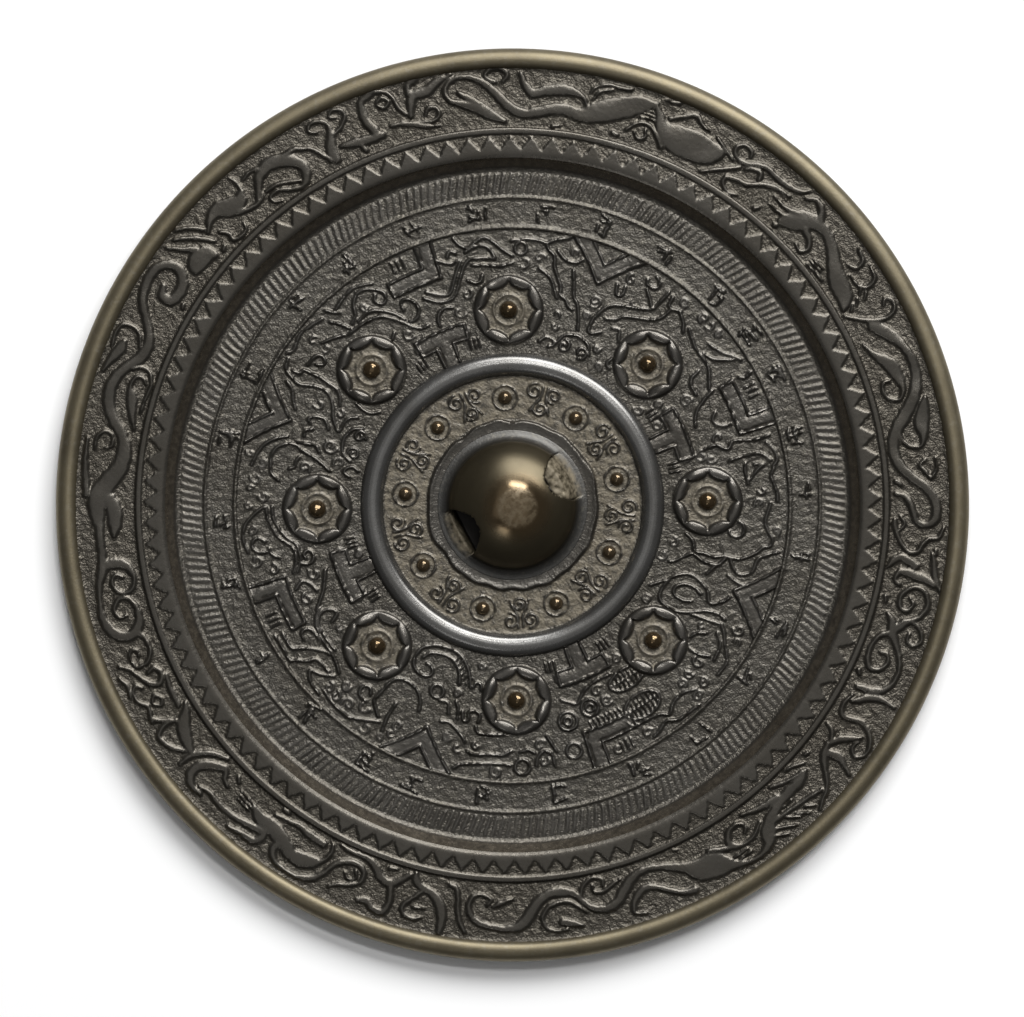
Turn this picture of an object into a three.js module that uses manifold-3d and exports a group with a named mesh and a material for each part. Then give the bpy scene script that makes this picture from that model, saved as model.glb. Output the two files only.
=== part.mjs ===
// Ancient bronze mirror: one casting, lying on its reflecting face with the decorated back up.
// Millimetres, +Z up, +X along the cord hole through the knob, origin under the centre of the face.
import * as THREE from "three";
import Module from "manifold-3d";

// Overall disc
const RADIUS = 91.2;
const TURNS = 54;
const FACE_FLAT = 30;
const FACE_BALL = 2500;
const FIELD_Z = 2.7;
const FRIEZE_Z = 4.8;
const LIP_TOP = 6.0;
const BAND_TOP = 5.25;

// Rings of the back, from the edge inward
const LIP_IN = 87.4;
const FRIEZE_IN = 75.3;
const THREAD_IN = 73.9;
const TOOTH_TIP = 73.7;
const TOOTH_ROOT = 71.0;
const TOOTH_COUNT = 109;
const STEP_OUT = 69.6;
const STEP_IN = 67.2;
const COMB_OUT = 66.6;
const COMB_TOP = 2.95;
const THREAD_R = [61.5, 55.5];
const THREAD_TOP = 3.1;
const RIDGE_OUT = 30.4;
const RIDGE_IN = 25.9;
const RIDGE_TOP = 4.25;
const COLLAR_OUT = 17.2;
const COLLAR_TOP = 3.3;

// Knob and its cord hole
const KNOB_RADIUS = 13.3;
const KNOB_RISE = 8.2;
const KNOB_TURNS = 32;
const KNOB_STEPS = 7;
const HOLE_FLOOR = 3.35;
const HOLE_WALL = 1.5;
const HOLE_HALF = 4.7;
const HOLE_ARC_STEPS = 10;

// Pattern angles are counted from the first rosette; the cord hole lies this far round from it.
const CORD_HOLE_TURN = 28;

// Rosettes, bosses and the T, L and V marks of the main field
const ROSETTES = 8;
const ROSETTE_FIRST = 1.15;
const ROSETTE_R = 39.0;
const ROSETTE_OUT = 6.8;
const ROSETTE_CUSP = 6.1;
const ROSETTE_LOBE = 4.6;
const ROSETTE_TOP = 3.8;
const ROSETTE_BOSS = 1.6;
const ROSETTE_BOSS_TOP = 4.4;
const BOSSES = 9;
const BOSS_FIRST = 14;
const BOSS_R = 21.5;
const BOSS_RADIUS = 1.3;
const BOSS_TOP = 3.9;
const MARK_TOP = 3.05;
const MARKS = 4;
const T_FIRST = 23;
const V_FIRST = 69;
const FIGURE_TOP = 5.4;
const BURIED = 0.6;

const bronze = new THREE.MeshStandardMaterial({
  name: "bronze",
  color: 0x5b5347,
  roughness: 0.48,
  metalness: 0.75,
});

const wasm = await Module();
wasm.setup();

// Joins equal corners of a three.js shape and hands it to the solid joiner, facing outward.
function solid(geometry) {
  geometry.deleteAttribute("normal");
  geometry.deleteAttribute("uv");
  const { points, faces } = welded(geometry);
  const flip = signedVolume(points, faces) < 0;
  const triVerts = new Uint32Array(faces.length);
  for (let i = 0; i < faces.length; i += 3) {
    triVerts[i] = faces[i];
    triVerts[i + 1] = faces[i + (flip ? 2 : 1)];
    triVerts[i + 2] = faces[i + (flip ? 1 : 2)];
  }
  return new wasm.Manifold(new wasm.Mesh({ numProp: 3, vertProperties: points, triVerts }));
}

// Equal corners become one corner; slivers that lose a side are left out.
function welded(geometry) {
  const at = geometry.getAttribute("position");
  const order = geometry.index ? Array.from(geometry.index.array) : [...Array(at.count).keys()];
  const seen = new Map();
  const points = [];
  const named = order.map((i) => {
    const corner = [at.getX(i), at.getY(i), at.getZ(i)];
    const key = corner.map((v) => Math.round(v * 1e4)).join(" ");
    if (!seen.has(key)) {
      seen.set(key, points.length / 3);
      points.push(...corner);
    }
    return seen.get(key);
  });
  const faces = [];
  for (let i = 0; i < named.length; i += 3) {
    const [a, b, c] = [named[i], named[i + 1], named[i + 2]];
    if (a !== b && b !== c && c !== a) faces.push(a, b, c);
  }
  return { points: new Float32Array(points), faces };
}

function signedVolume(points, faces) {
  const corner = (i) => new THREE.Vector3().fromArray(points, faces[i] * 3);
  let sum = 0;
  for (let i = 0; i < faces.length; i += 3) {
    sum += corner(i).dot(corner(i + 1).cross(corner(i + 2)));
  }
  return sum / 6;
}

// Pattern angle and radius to a flat point of the part.
function at(degrees, radius) {
  const a = THREE.MathUtils.degToRad(degrees - CORD_HOLE_TURN);
  return new THREE.Vector2(radius * Math.cos(a), radius * Math.sin(a));
}

// A profile of [radius, height] pairs turned about the axis.
function turned(profile, turns) {
  const points = profile.map(([r, z]) => new THREE.Vector2(r, z));
  return solid(new THREE.LatheGeometry(points, turns).rotateX(Math.PI / 2));
}

// A flat outline raised from just under the ground to a top height.
function raised(outline, ground, top, holes = []) {
  const shape = new THREE.Shape(outline);
  for (const hole of holes) shape.holes.push(new THREE.Path(hole));
  const depth = top - ground + BURIED;
  const geometry = new THREE.ExtrudeGeometry(shape, { depth, bevelEnabled: false });
  return solid(geometry.translate(0, 0, ground - BURIED));
}

function faceArc(radius) {
  return (radius * radius - FACE_FLAT * FACE_FLAT) / (2 * FACE_BALL);
}

// The disc: gently domed reflecting face, edge, worn lip, and the plain rings of the back.
function disc() {
  const face = [0, FACE_FLAT, 62, 90.4].map((r) => [r, r > FACE_FLAT ? faceArc(r) : 0]);
  const edge = [[RADIUS, 2.3], [90.7, 5.3], [89.2, LIP_TOP], [LIP_IN, FRIEZE_Z]];
  const friezeFloor = [[FRIEZE_IN, FRIEZE_Z]];
  const threadBand = [[FRIEZE_IN - 0.2, BAND_TOP], [THREAD_IN + 0.2, BAND_TOP], [THREAD_IN, FRIEZE_Z]];
  const step = [[STEP_OUT, FRIEZE_Z], [STEP_IN, FIELD_Z]];
  const comb = [[COMB_OUT, COMB_TOP], [THREAD_R[0] + 0.6, COMB_TOP]];
  const threads = [[THREAD_R[0], THREAD_TOP], [THREAD_R[0] - 0.5, FIELD_Z]];
  threads.push([THREAD_R[1] + 0.5, FIELD_Z], [THREAD_R[1], THREAD_TOP], [THREAD_R[1] - 0.5, FIELD_Z]);
  const ridge = [[RIDGE_OUT, FIELD_Z], [29.5, 3.9], [28.2, RIDGE_TOP], [26.8, 3.95], [RIDGE_IN, FIELD_Z]];
  const collar = [[COLLAR_OUT, FIELD_Z], [COLLAR_OUT - 0.4, COLLAR_TOP], [0, COLLAR_TOP]];
  const back = [...friezeFloor, ...threadBand, ...step, ...comb, ...threads, ...ridge, ...collar];
  return turned([...face, ...edge, ...back], TURNS);
}

// The round knob, bored through by an arched cord hole with a flat floor.
function knob() {
  const base = COLLAR_TOP - 0.1;
  const profile = [[0, base - BURIED], [KNOB_RADIUS, base - BURIED]];
  for (let i = 0; i <= KNOB_STEPS; i += 1) {
    const a = (i / KNOB_STEPS) * (Math.PI / 2);
    profile.push([i < KNOB_STEPS ? KNOB_RADIUS * Math.cos(a) : 0, base + KNOB_RISE * Math.sin(a)]);
  }
  return turned(profile, KNOB_TURNS);
}

function cordHole() {
  const shoulder = HOLE_FLOOR + HOLE_WALL;
  const outline = [new THREE.Vector2(-HOLE_HALF, HOLE_FLOOR), new THREE.Vector2(HOLE_HALF, HOLE_FLOOR)];
  for (let i = 0; i <= HOLE_ARC_STEPS; i += 1) {
    const a = (i / HOLE_ARC_STEPS) * Math.PI;
    outline.push(new THREE.Vector2(HOLE_HALF * Math.cos(a), shoulder + HOLE_HALF * Math.sin(a)));
  }
  const length = KNOB_RADIUS * 4;
  const bar = new THREE.ExtrudeGeometry(new THREE.Shape(outline), { depth: length, bevelEnabled: false });
  bar.translate(0, 0, -length / 2);
  bar.rotateX(Math.PI / 2);
  bar.rotateZ(Math.PI / 2);
  return solid(bar);
}

// The saw-tooth band: one smooth ring with a tooth on its outside for each step round.
function sawTeeth() {
  const outline = [];
  const inside = [];
  for (let i = 0; i < TOOTH_COUNT; i += 1) {
    const pitch = 360 / TOOTH_COUNT;
    outline.push(at(i * pitch, TOOTH_ROOT), at((i + 0.5) * pitch, TOOTH_TIP));
    inside.push(at(i * pitch, STEP_OUT + 0.1));
  }
  return raised(outline, FRIEZE_Z, BAND_TOP, [inside]);
}

// A low rounded boss.
function boss(degrees, radius, size, top, turns) {
  const rise = top - FIELD_Z;
  const profile = [[0, FIELD_Z - BURIED], [size, FIELD_Z - BURIED], [size, FIELD_Z + rise * 0.3]];
  profile.push([size * 0.6, FIELD_Z + rise * 0.85], [0, top]);
  const place = at(degrees, radius);
  return turned(profile, turns).translate([place.x, place.y, 0]);
}

// A ring whose inner edge is eight linked arcs, with a boss in the middle.
function rosette(degrees) {
  const centre = at(degrees, ROSETTE_R);
  const outline = [];
  const inside = [];
  const steps = 24;
  for (let i = 0; i < steps; i += 1) {
    const a = (i / steps) * Math.PI * 2;
    const bulge = Math.abs(Math.sin((i / steps) * Math.PI * ROSETTES));
    const inner = ROSETTE_CUSP - (ROSETTE_CUSP - ROSETTE_LOBE) * Math.sqrt(bulge);
    const way = new THREE.Vector2(Math.cos(a), Math.sin(a));
    outline.push(way.clone().multiplyScalar(ROSETTE_OUT).add(centre));
    inside.push(way.clone().multiplyScalar(inner).add(centre));
  }
  const ring = raised(outline, FIELD_Z, ROSETTE_TOP, [inside]);
  return ring.add(boss(degrees, ROSETTE_R, ROSETTE_BOSS, ROSETTE_BOSS_TOP, 9));
}

// The T mark on the inner side of the field: crossbar and stem.
function markT(c) {
  const bar = [at(c + 8.1, 34.5), at(c + 8.1, 37.5), at(c, 37.7), at(c - 8.1, 37.5), at(c - 8.1, 34.5)];
  const stem = [at(c - 2.9, 34.6), at(c - 2.9, 30), at(c + 2.9, 30), at(c + 2.9, 34.6)];
  return raised([...bar, ...stem], FIELD_Z, MARK_TOP);
}

// The L mark against the outer thread ring.
function markL(c) {
  const foot = [at(c + 6.5, 47.6), at(c + 6.5, 50.5), at(c - 2.2, 50.5)];
  const arm = [at(c - 2.2, 55.3), at(c - 5.6, 55.3), at(c - 5.6, 47.6)];
  return raised([...foot, ...arm], FIELD_Z, MARK_TOP);
}

// The V mark, its point toward the knob.
function markV(c) {
  const outer = [at(c + 7.9, 55.3), at(c + 3.9, 55.3), at(c, 51.3)];
  const inner = [at(c - 3.9, 55.3), at(c - 7.9, 55.3), at(c, 47.4)];
  return raised([...outer, ...inner], FIELD_Z, MARK_TOP);
}

// A frieze stem through its turning points [degrees, radius, width], flat on top.
function stem(...turning) {
  const path = turning.map(([d, r, w]) => new THREE.Vector3(at(d, r).x, at(d, r).y, w));
  const curve = new THREE.CatmullRomCurve3(path, false, "centripetal");
  const count = Math.max(2, Math.round(curve.getLength() / 3.5));
  const spine = curve.getPoints(count);
  const left = [];
  const right = [];
  spine.forEach((p, i) => {
    const before = spine[Math.max(0, i - 1)];
    const after = spine[Math.min(count, i + 1)];
    const side = new THREE.Vector2(before.y - after.y, after.x - before.x).setLength(p.z / 2);
    left.push(new THREE.Vector2(p.x + side.x, p.y + side.y));
    right.unshift(new THREE.Vector2(p.x - side.x, p.y - side.y));
  });
  return raised([...left, ...right], FRIEZE_Z, FIGURE_TOP);
}

// The rim frieze: waves, leaves, curls and beast bodies, going round from the first rosette.
function frieze() {
  return [
    stem(
      [26.4, 80.4, 2.6], [20, 84.8, 1.9], [13, 80.4, 2.7],
      [8.5, 76.8, 2.3], [4, 79.8, 1.9], [-1, 84.6, 1.8],
    ),
    stem([24.6, 76.9, 0.6], [19.6, 80.8, 2.8], [16, 80.9, 1], [16.4, 77.5, 0.9]),
    stem([14.6, 85, 1], [11.2, 83.2, 3], [8.3, 82, 1], [9.4, 78.9, 0.9]),
    stem([30.6, 76.8, 1.4], [34.5, 78.8, 3.8], [41, 82.9, 2.2], [44.8, 80.6, 4.4], [46.6, 77.8, 1.6]),
    stem([46.6, 86.2, 0.8], [50.5, 84, 1.2], [56, 82.4, 1.1], [57.4, 85.2, 0.9]),
    stem([48, 82.8, 0.8], [53.8, 79.2, 1], [57, 77.9, 1], [55.2, 75.8, 0.9]),
    stem([59.6, 81.4, 3], [63.5, 80.2, 6], [68, 80.6, 3.4], [70.4, 85, 1.1]),
    stem(
      [70.2, 84.9, 1.2], [75.4, 81.6, 4.4], [81, 79.1, 2.6],
      [88.6, 78.2, 2], [92.6, 82.6, 1.8], [97, 85.9, 1.1],
    ),
    stem([99, 83, 1.1], [96, 80.4, 2.4], [91.2, 76.6, 1]),
    stem([88.9, 86, 1.1], [87.2, 82.3, 1.9], [83.2, 83.4, 2.4], [79.5, 81.2, 0.8]),
    stem([98.8, 86.5, 1], [101.8, 84.3, 2.2], [104.4, 80.6, 1.4]),
    stem([109, 86.8, 1.4], [110.9, 83.6, 1.8], [110.2, 78.9, 1.9]),
    stem([115.6, 79.3, 1.2], [111.6, 78.3, 2], [104.4, 78.4, 1.2]),
    stem([116.9, 77.2, 1.8], [116.2, 82, 1.8], [117.6, 85.9, 0.9]),
    stem([129.9, 79.1, 0.9], [125.8, 83.5, 2.8], [122, 80, 2.4], [123.6, 76.4, 1.2], [127.4, 78.3, 0.9]),
    stem([138.2, 81.4, 0.8], [135, 83.2, 3], [132, 81.4, 3.6], [130.8, 84.8, 0.9]),
    stem([143.6, 78.4, 1.6], [141.6, 79.2, 4.2], [139.9, 77.6, 1.4]),
    stem([153, 82, 1.7], [149, 85.3, 2], [144.8, 82.6, 2], [147, 79, 2.3], [149, 81, 1.6]),
    stem([153, 82, 1.7], [157, 79.4, 2.3], [163.5, 83.5, 2.5], [172, 78.2, 3], [178.8, 82.6, 4]),
    stem([178.8, 82.6, 4], [187, 82.4, 1.8], [193.4, 84.5, 1.1], [198.6, 82, 2.2], [195.6, 77.8, 1.2]),
    stem([161.8, 86, 0.8], [159, 84.6, 2.3], [157.2, 84, 1.2]),
    stem([168.8, 76.9, 0.8], [164.4, 78.8, 2.2], [161.3, 79, 0.9]),
    stem([184.4, 79.6, 1.4], [180, 80, 3.2]),
    stem([188.4, 81.6, 2.2], [189.2, 77.6, 1.6], [192.3, 77.6, 0.9], [192.2, 80.6, 0.9]),
    stem([202.4, 84.8, 0.8], [206.2, 80.6, 1.2], [205.4, 77.6, 1.2]),
    stem([217.3, 80.8, 1.6], [214.5, 79.4, 2.8], [211.2, 76.2, 1]),
    stem([216.8, 81.8, 1], [213.8, 84.2, 1.1], [212.4, 80, 1]),
    stem([222.8, 84.8, 0.9], [219.8, 83, 1.9], [221.2, 79, 1.9], [224.4, 79.6, 0.9]),
    stem([229.6, 79.4, 1.6], [233.4, 80.2, 3.2], [241, 81.8, 2.8]),
    stem([241, 85.4, 0.9], [236.4, 85.4, 1.1], [235.3, 82, 2]),
    stem([228.4, 85.6, 0.8], [231, 84.9, 1.4], [232.9, 82.8, 1.7]),
    stem([232.6, 82.2, 1.6], [228.4, 83.3, 1.2], [222, 84, 0.9]),
    stem([239.6, 85.8, 0.9], [243, 82.4, 1.2], [246.6, 78.2, 1.2], [247.8, 81.2, 1]),
    stem([245.4, 76.2, 1], [251.4, 79.2, 1.8], [255, 76.2, 1.2]),
    stem([248.5, 84.6, 1], [251.6, 85.2, 1.5], [252.4, 80.4, 1.4]),
    stem([260.2, 86.2, 1.5], [260, 82, 2.1], [256.6, 78.2, 1.5]),
    stem([263.6, 85.8, 0.8], [262.2, 80, 1.1], [261.2, 76.9, 1]),
    stem(
      [266, 78.6, 0.8], [264, 80.6, 1.1], [267.4, 84.3, 1.3],
      [272, 82.8, 2.3], [276.2, 77.8, 2], [283, 82.6, 1.8],
    ),
    stem([283, 82.6, 1.8], [289.4, 77.4, 1.7], [295.6, 80.2, 2.4], [299.4, 82.6, 4.8], [302.6, 85, 1.4]),
    stem([302.6, 85, 1.4], [307, 84.6, 2], [311, 80.2, 2.3], [317.8, 78.8, 1.2]),
    stem([277.4, 85.3, 0.8], [274.4, 83, 0.9], [278, 79.8, 0.9]),
    stem([295.4, 85, 1.6], [290.6, 81.4, 1.3], [287.2, 83, 1.4], [288.2, 85.6, 0.8]),
    stem([303, 81, 1.4], [303.6, 78, 1.2], [306.4, 76.8, 0.9], [312, 78.8, 1.6]),
    stem([322.9, 78.9, 1.4], [319.6, 82, 1.1], [315.3, 86.4, 0.8]),
    stem([321.3, 86.2, 0.9], [322.3, 82.4, 1.9], [323.6, 79, 1.3]),
    stem([330.8, 77.6, 0.9], [327.8, 79.4, 1.2], [327.6, 84.4, 1.2], [324.4, 85.8, 0.9]),
    stem([332, 86.2, 0.9], [332, 82, 1.6], [330, 78.2, 1]),
    stem([344, 77.8, 0.9], [341.4, 80, 2], [336.6, 83.9, 1.1], [332.8, 81.4, 1.6], [332.3, 77.6, 1.1]),
    stem([341.2, 79.2, 1.4], [337.6, 76.9, 1.1], [336.2, 80.4, 1]),
    stem([342.6, 80.6, 1.4], [343.6, 83.6, 1], [341.4, 85.6, 0.9]),
    stem([342, 80.6, 1.4], [346.2, 85.2, 1.1], [348.3, 82, 1], [346, 79.6, 1]),
    stem([349.2, 85.6, 1.2], [350.2, 81, 1.9], [351.8, 77.4, 1.5]),
    stem([357, 86.1, 0.8], [355.2, 83, 1], [353.4, 80.6, 1], [357.6, 76.4, 1]),
  ];
}

function mirror() {
  const pieces = [disc(), sawTeeth()];
  for (let i = 0; i < ROSETTES; i += 1) pieces.push(rosette(ROSETTE_FIRST + (i * 360) / ROSETTES));
  for (let i = 0; i < BOSSES; i += 1) {
    pieces.push(boss(BOSS_FIRST + (i * 360) / BOSSES, BOSS_R, BOSS_RADIUS, BOSS_TOP, 7));
  }
  for (let i = 0; i < MARKS; i += 1) {
    const quarter = (i * 360) / MARKS;
    pieces.push(markT(T_FIRST + quarter), markL(T_FIRST + quarter), markV(V_FIRST + quarter));
  }
  pieces.push(...frieze());
  const plain = pieces.reduce((whole, piece) => whole.add(piece));
  return plain.add(knob()).subtract(cordHole());
}

function asMesh(name, body) {
  const { vertProperties, triVerts } = body.getMesh();
  const geometry = new THREE.BufferGeometry();
  geometry.setAttribute("position", new THREE.BufferAttribute(new Float32Array(vertProperties), 3));
  geometry.setIndex(new THREE.BufferAttribute(new Uint32Array(triVerts), 1));
  const mesh = new THREE.Mesh(geometry, bronze);
  mesh.name = name;
  return mesh;
}

const part = new THREE.Group();
part.add(asMesh("mirror", mirror()));
export default part;
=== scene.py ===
# %% [markdown]
# # An ancient bronze mirror, seen from its decorated back
# The real object is one casting: a round disc, polished on the face it lies on, with a
# pierced knob, eight rosettes and bands of low relief on the back. One mould gave it all,
# so everything here carries the same bronze. The zones between the plain rings are made
# as separate closed rings, each fine enough for its own ornament.

import math
from functools import partial

import bmesh
import bpy
import numpy as np
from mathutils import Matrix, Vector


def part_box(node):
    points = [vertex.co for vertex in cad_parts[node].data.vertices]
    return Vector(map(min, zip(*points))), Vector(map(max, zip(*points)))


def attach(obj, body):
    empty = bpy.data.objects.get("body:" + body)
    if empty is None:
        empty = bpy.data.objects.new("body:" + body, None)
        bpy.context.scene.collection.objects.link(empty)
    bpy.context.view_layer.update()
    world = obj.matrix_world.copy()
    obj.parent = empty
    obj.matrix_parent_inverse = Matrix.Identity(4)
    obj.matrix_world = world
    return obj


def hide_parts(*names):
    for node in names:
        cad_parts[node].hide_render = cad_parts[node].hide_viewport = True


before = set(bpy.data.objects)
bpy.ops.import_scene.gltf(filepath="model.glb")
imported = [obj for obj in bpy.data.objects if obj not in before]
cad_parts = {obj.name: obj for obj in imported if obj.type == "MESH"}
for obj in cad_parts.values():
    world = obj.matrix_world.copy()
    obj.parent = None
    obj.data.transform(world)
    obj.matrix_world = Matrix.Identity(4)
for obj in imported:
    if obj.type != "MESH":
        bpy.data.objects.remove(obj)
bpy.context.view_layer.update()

# %% [markdown]
# ## Sizes
# All sizes are in millimetres and follow the solid, save that the lip and the cord hole are
# about half a millimetre wider. The disc lies on its face at height 0, and +X runs along the cord
# hole. Ornament is counted in degrees from a line 28 degrees before the hole.

# %% Sizes
MM = 0.001
TURN = 28.0
high_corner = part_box("mirror")[1]
RADIUS = high_corner.x / MM
FIELD_Z = 2.7
FRIEZE_Z = 4.8
BAND_Z = 5.25
LIP_Z = 6.0
SEAT_Z = 1.7
dice = np.random.default_rng(14)
print("disc radius", round(RADIUS, 2), "mm, height", round(high_corner.z / MM, 2), "mm")

# %% [markdown]
# ## Spinning a profile
# Every piece starts as a profile carried round the axis: a flat grid bent into a ring, with
# its seam and poles welded.

# %% Meshes
def placed(name, data):
    thing = bpy.data.objects.new(name, data)
    bpy.context.scene.collection.objects.link(thing)
    return thing


def read_points(mesh):
    co = np.empty(len(mesh.vertices) * 3, np.float32)
    mesh.vertices.foreach_get("co", co)
    return co.reshape(-1, 3)


def write_points(mesh, co):
    mesh.vertices.foreach_set("co", co.astype(np.float32).ravel())


def keep_mark(mesh, label, values):
    """Keeps a number at every point, for the finish to read."""
    mesh.attributes.new(label, "FLOAT", "POINT").data.foreach_set("value", values.astype(np.float32))


def shade_smooth(mesh, sharp_from=None):
    mesh.polygons.foreach_set("use_smooth", np.ones(len(mesh.polygons), bool))
    if sharp_from:
        mesh.set_sharp_from_angle(angle=math.radians(sharp_from))


def spin_profile(name, profile, turns, closed=False):
    """A profile of (radius, height) pairs carried once round the axis."""
    rows = np.array(profile + profile[:1] if closed else profile, float) * MM
    bm = bmesh.new()
    bmesh.ops.create_grid(bm, x_segments=turns, y_segments=len(rows) - 1, size=1)
    mesh = bpy.data.meshes.new(name)
    bm.to_mesh(mesh)
    co = read_points(mesh)
    turn = np.rint((co[:, 0] + 1) / 2 * turns) % turns * 2 * math.pi / turns
    row = rows[np.rint((co[:, 1] + 1) / 2 * (len(rows) - 1)).astype(int)]
    write_points(mesh, np.stack([row[:, 0] * np.cos(turn), row[:, 0] * np.sin(turn), row[:, 1]], 1))
    bm.clear()
    bm.from_mesh(mesh)
    bmesh.ops.remove_doubles(bm, verts=bm.verts, dist=2e-7)
    bmesh.ops.recalc_face_normals(bm, faces=bm.faces)
    bm.to_mesh(mesh)
    bm.free()
    return mesh


# %% [markdown]
# ## Lines for the graver
# Ornament is cut along lines. One flows through its turning points, one has sharp corners,
# and one coils in on itself. Each is a run of points with the half width of the cut.

# %% Lines
FLOW_STEP = 0.22
STRAIGHT_STEP = 0.3
LEAST_HALF = 0.12
CURL_STEPS = 26


def flowing(points):
    """A smooth line through [degrees, radius, width] turning points: rows of x, y, half width."""
    p = np.array(points, float)
    a = np.radians(p[:, 0])
    knots = np.stack([p[:, 1] * np.cos(a), p[:, 1] * np.sin(a), p[:, 2] / 2], 1)
    run = np.vstack([2 * knots[0] - knots[1], knots, 2 * knots[-1] - knots[-2]])
    spans = []
    for before, here, there, after in zip(run[:-3], run[1:-2], run[2:-1], run[3:]):
        n = max(2, int(np.hypot(*(there - here)[:2]) / FLOW_STEP))
        t = (np.arange(n) / n)[:, None]
        bend = (2 * before - 5 * here + 4 * there - after) * t**2
        twist = (3 * here - before - 3 * there + after) * t**3
        spans.append(0.5 * (2 * here + (there - before) * t + bend + twist))
    line = np.vstack(spans + [knots[-1:]])
    line[:, 2] = np.clip(line[:, 2], LEAST_HALF, None)
    return line


def straight(points, width):
    """A line with sharp corners through [degrees, radius] points."""
    line = []
    for (d0, r0), (d1, r1) in zip(points[:-1], points[1:]):
        n = max(2, int(math.hypot(math.radians(d1 - d0) * r0, r1 - r0) / STRAIGHT_STEP))
        for t in np.arange(n + 1) / n:
            a = math.radians(d0 + (d1 - d0) * t)
            r = r0 + (r1 - r0) * t
            line.append((r * math.cos(a), r * math.sin(a), width / 2))
    return np.array(line)


def curl(deg, radius, size, start, sweep, width, inner=0.25):
    """A coil about a point: it begins at its outside and winds in."""
    t = np.arange(CURL_STEPS + 1) / CURL_STEPS
    a = math.radians(deg)
    turn = np.radians(start + deg + sweep * t)
    reach = size * (1 - (1 - inner) * t)
    x = radius * math.cos(a) + reach * np.cos(turn)
    y = radius * math.sin(a) + reach * np.sin(turn)
    return np.stack([x, y, np.full(CURL_STEPS + 1, width / 2)], 1)


def told(text, width=None):
    """The turning points of each figure; a width holds until the next one told."""
    for line in text.strip().replace("\n ", " ").splitlines():
        points = []
        for word in line.split():
            deg, radius, *new_width = [float(v) for v in word.split(",")]
            width = new_width[0] if new_width else width
            points.append([deg, radius, width])
        yield points


# %% [markdown]
# ## A ring of relief
# A mould-maker cuts each band of ornament into flat clay between two plain circles. Here
# the flat top of a closed ring is raised by the strokes laid on it. The ring also marks
# smooth figures, earth and warm metal. Its grid is fine only where the ornament is fine.

# %% The ring and its strokes
WEAR = 0.09
STROKE_SPAN = 12


def smooth(t):
    t = np.clip(t, 0, 1)
    return t * t * (3 - 2 * t)


def rounded(u):
    """A round top: 1 in the middle and 0 from one unit out."""
    return np.sqrt(np.clip(1 - u**2, 0, 1))


def raise_to(grid, pick, values):
    grid[pick] = np.maximum(grid[pick], values)


def even(start, stop, pitch):
    return np.linspace(start, stop, int(round((stop - start) / pitch)) + 1)


def waver(ring, size):
    """Slow unevenness left by the clay: about -1 to 1, wandering over a few millimetres."""
    total = np.zeros_like(ring.x)
    for _ in range(7):
        way = dice.uniform(0, 2 * math.pi)
        pace = 2 * math.pi / (size * dice.uniform(0.7, 1.6))
        total += np.sin((ring.x * math.cos(way) + ring.y * math.sin(way)) * pace + dice.uniform(0, 6.3))
    return total / 3.2


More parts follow.
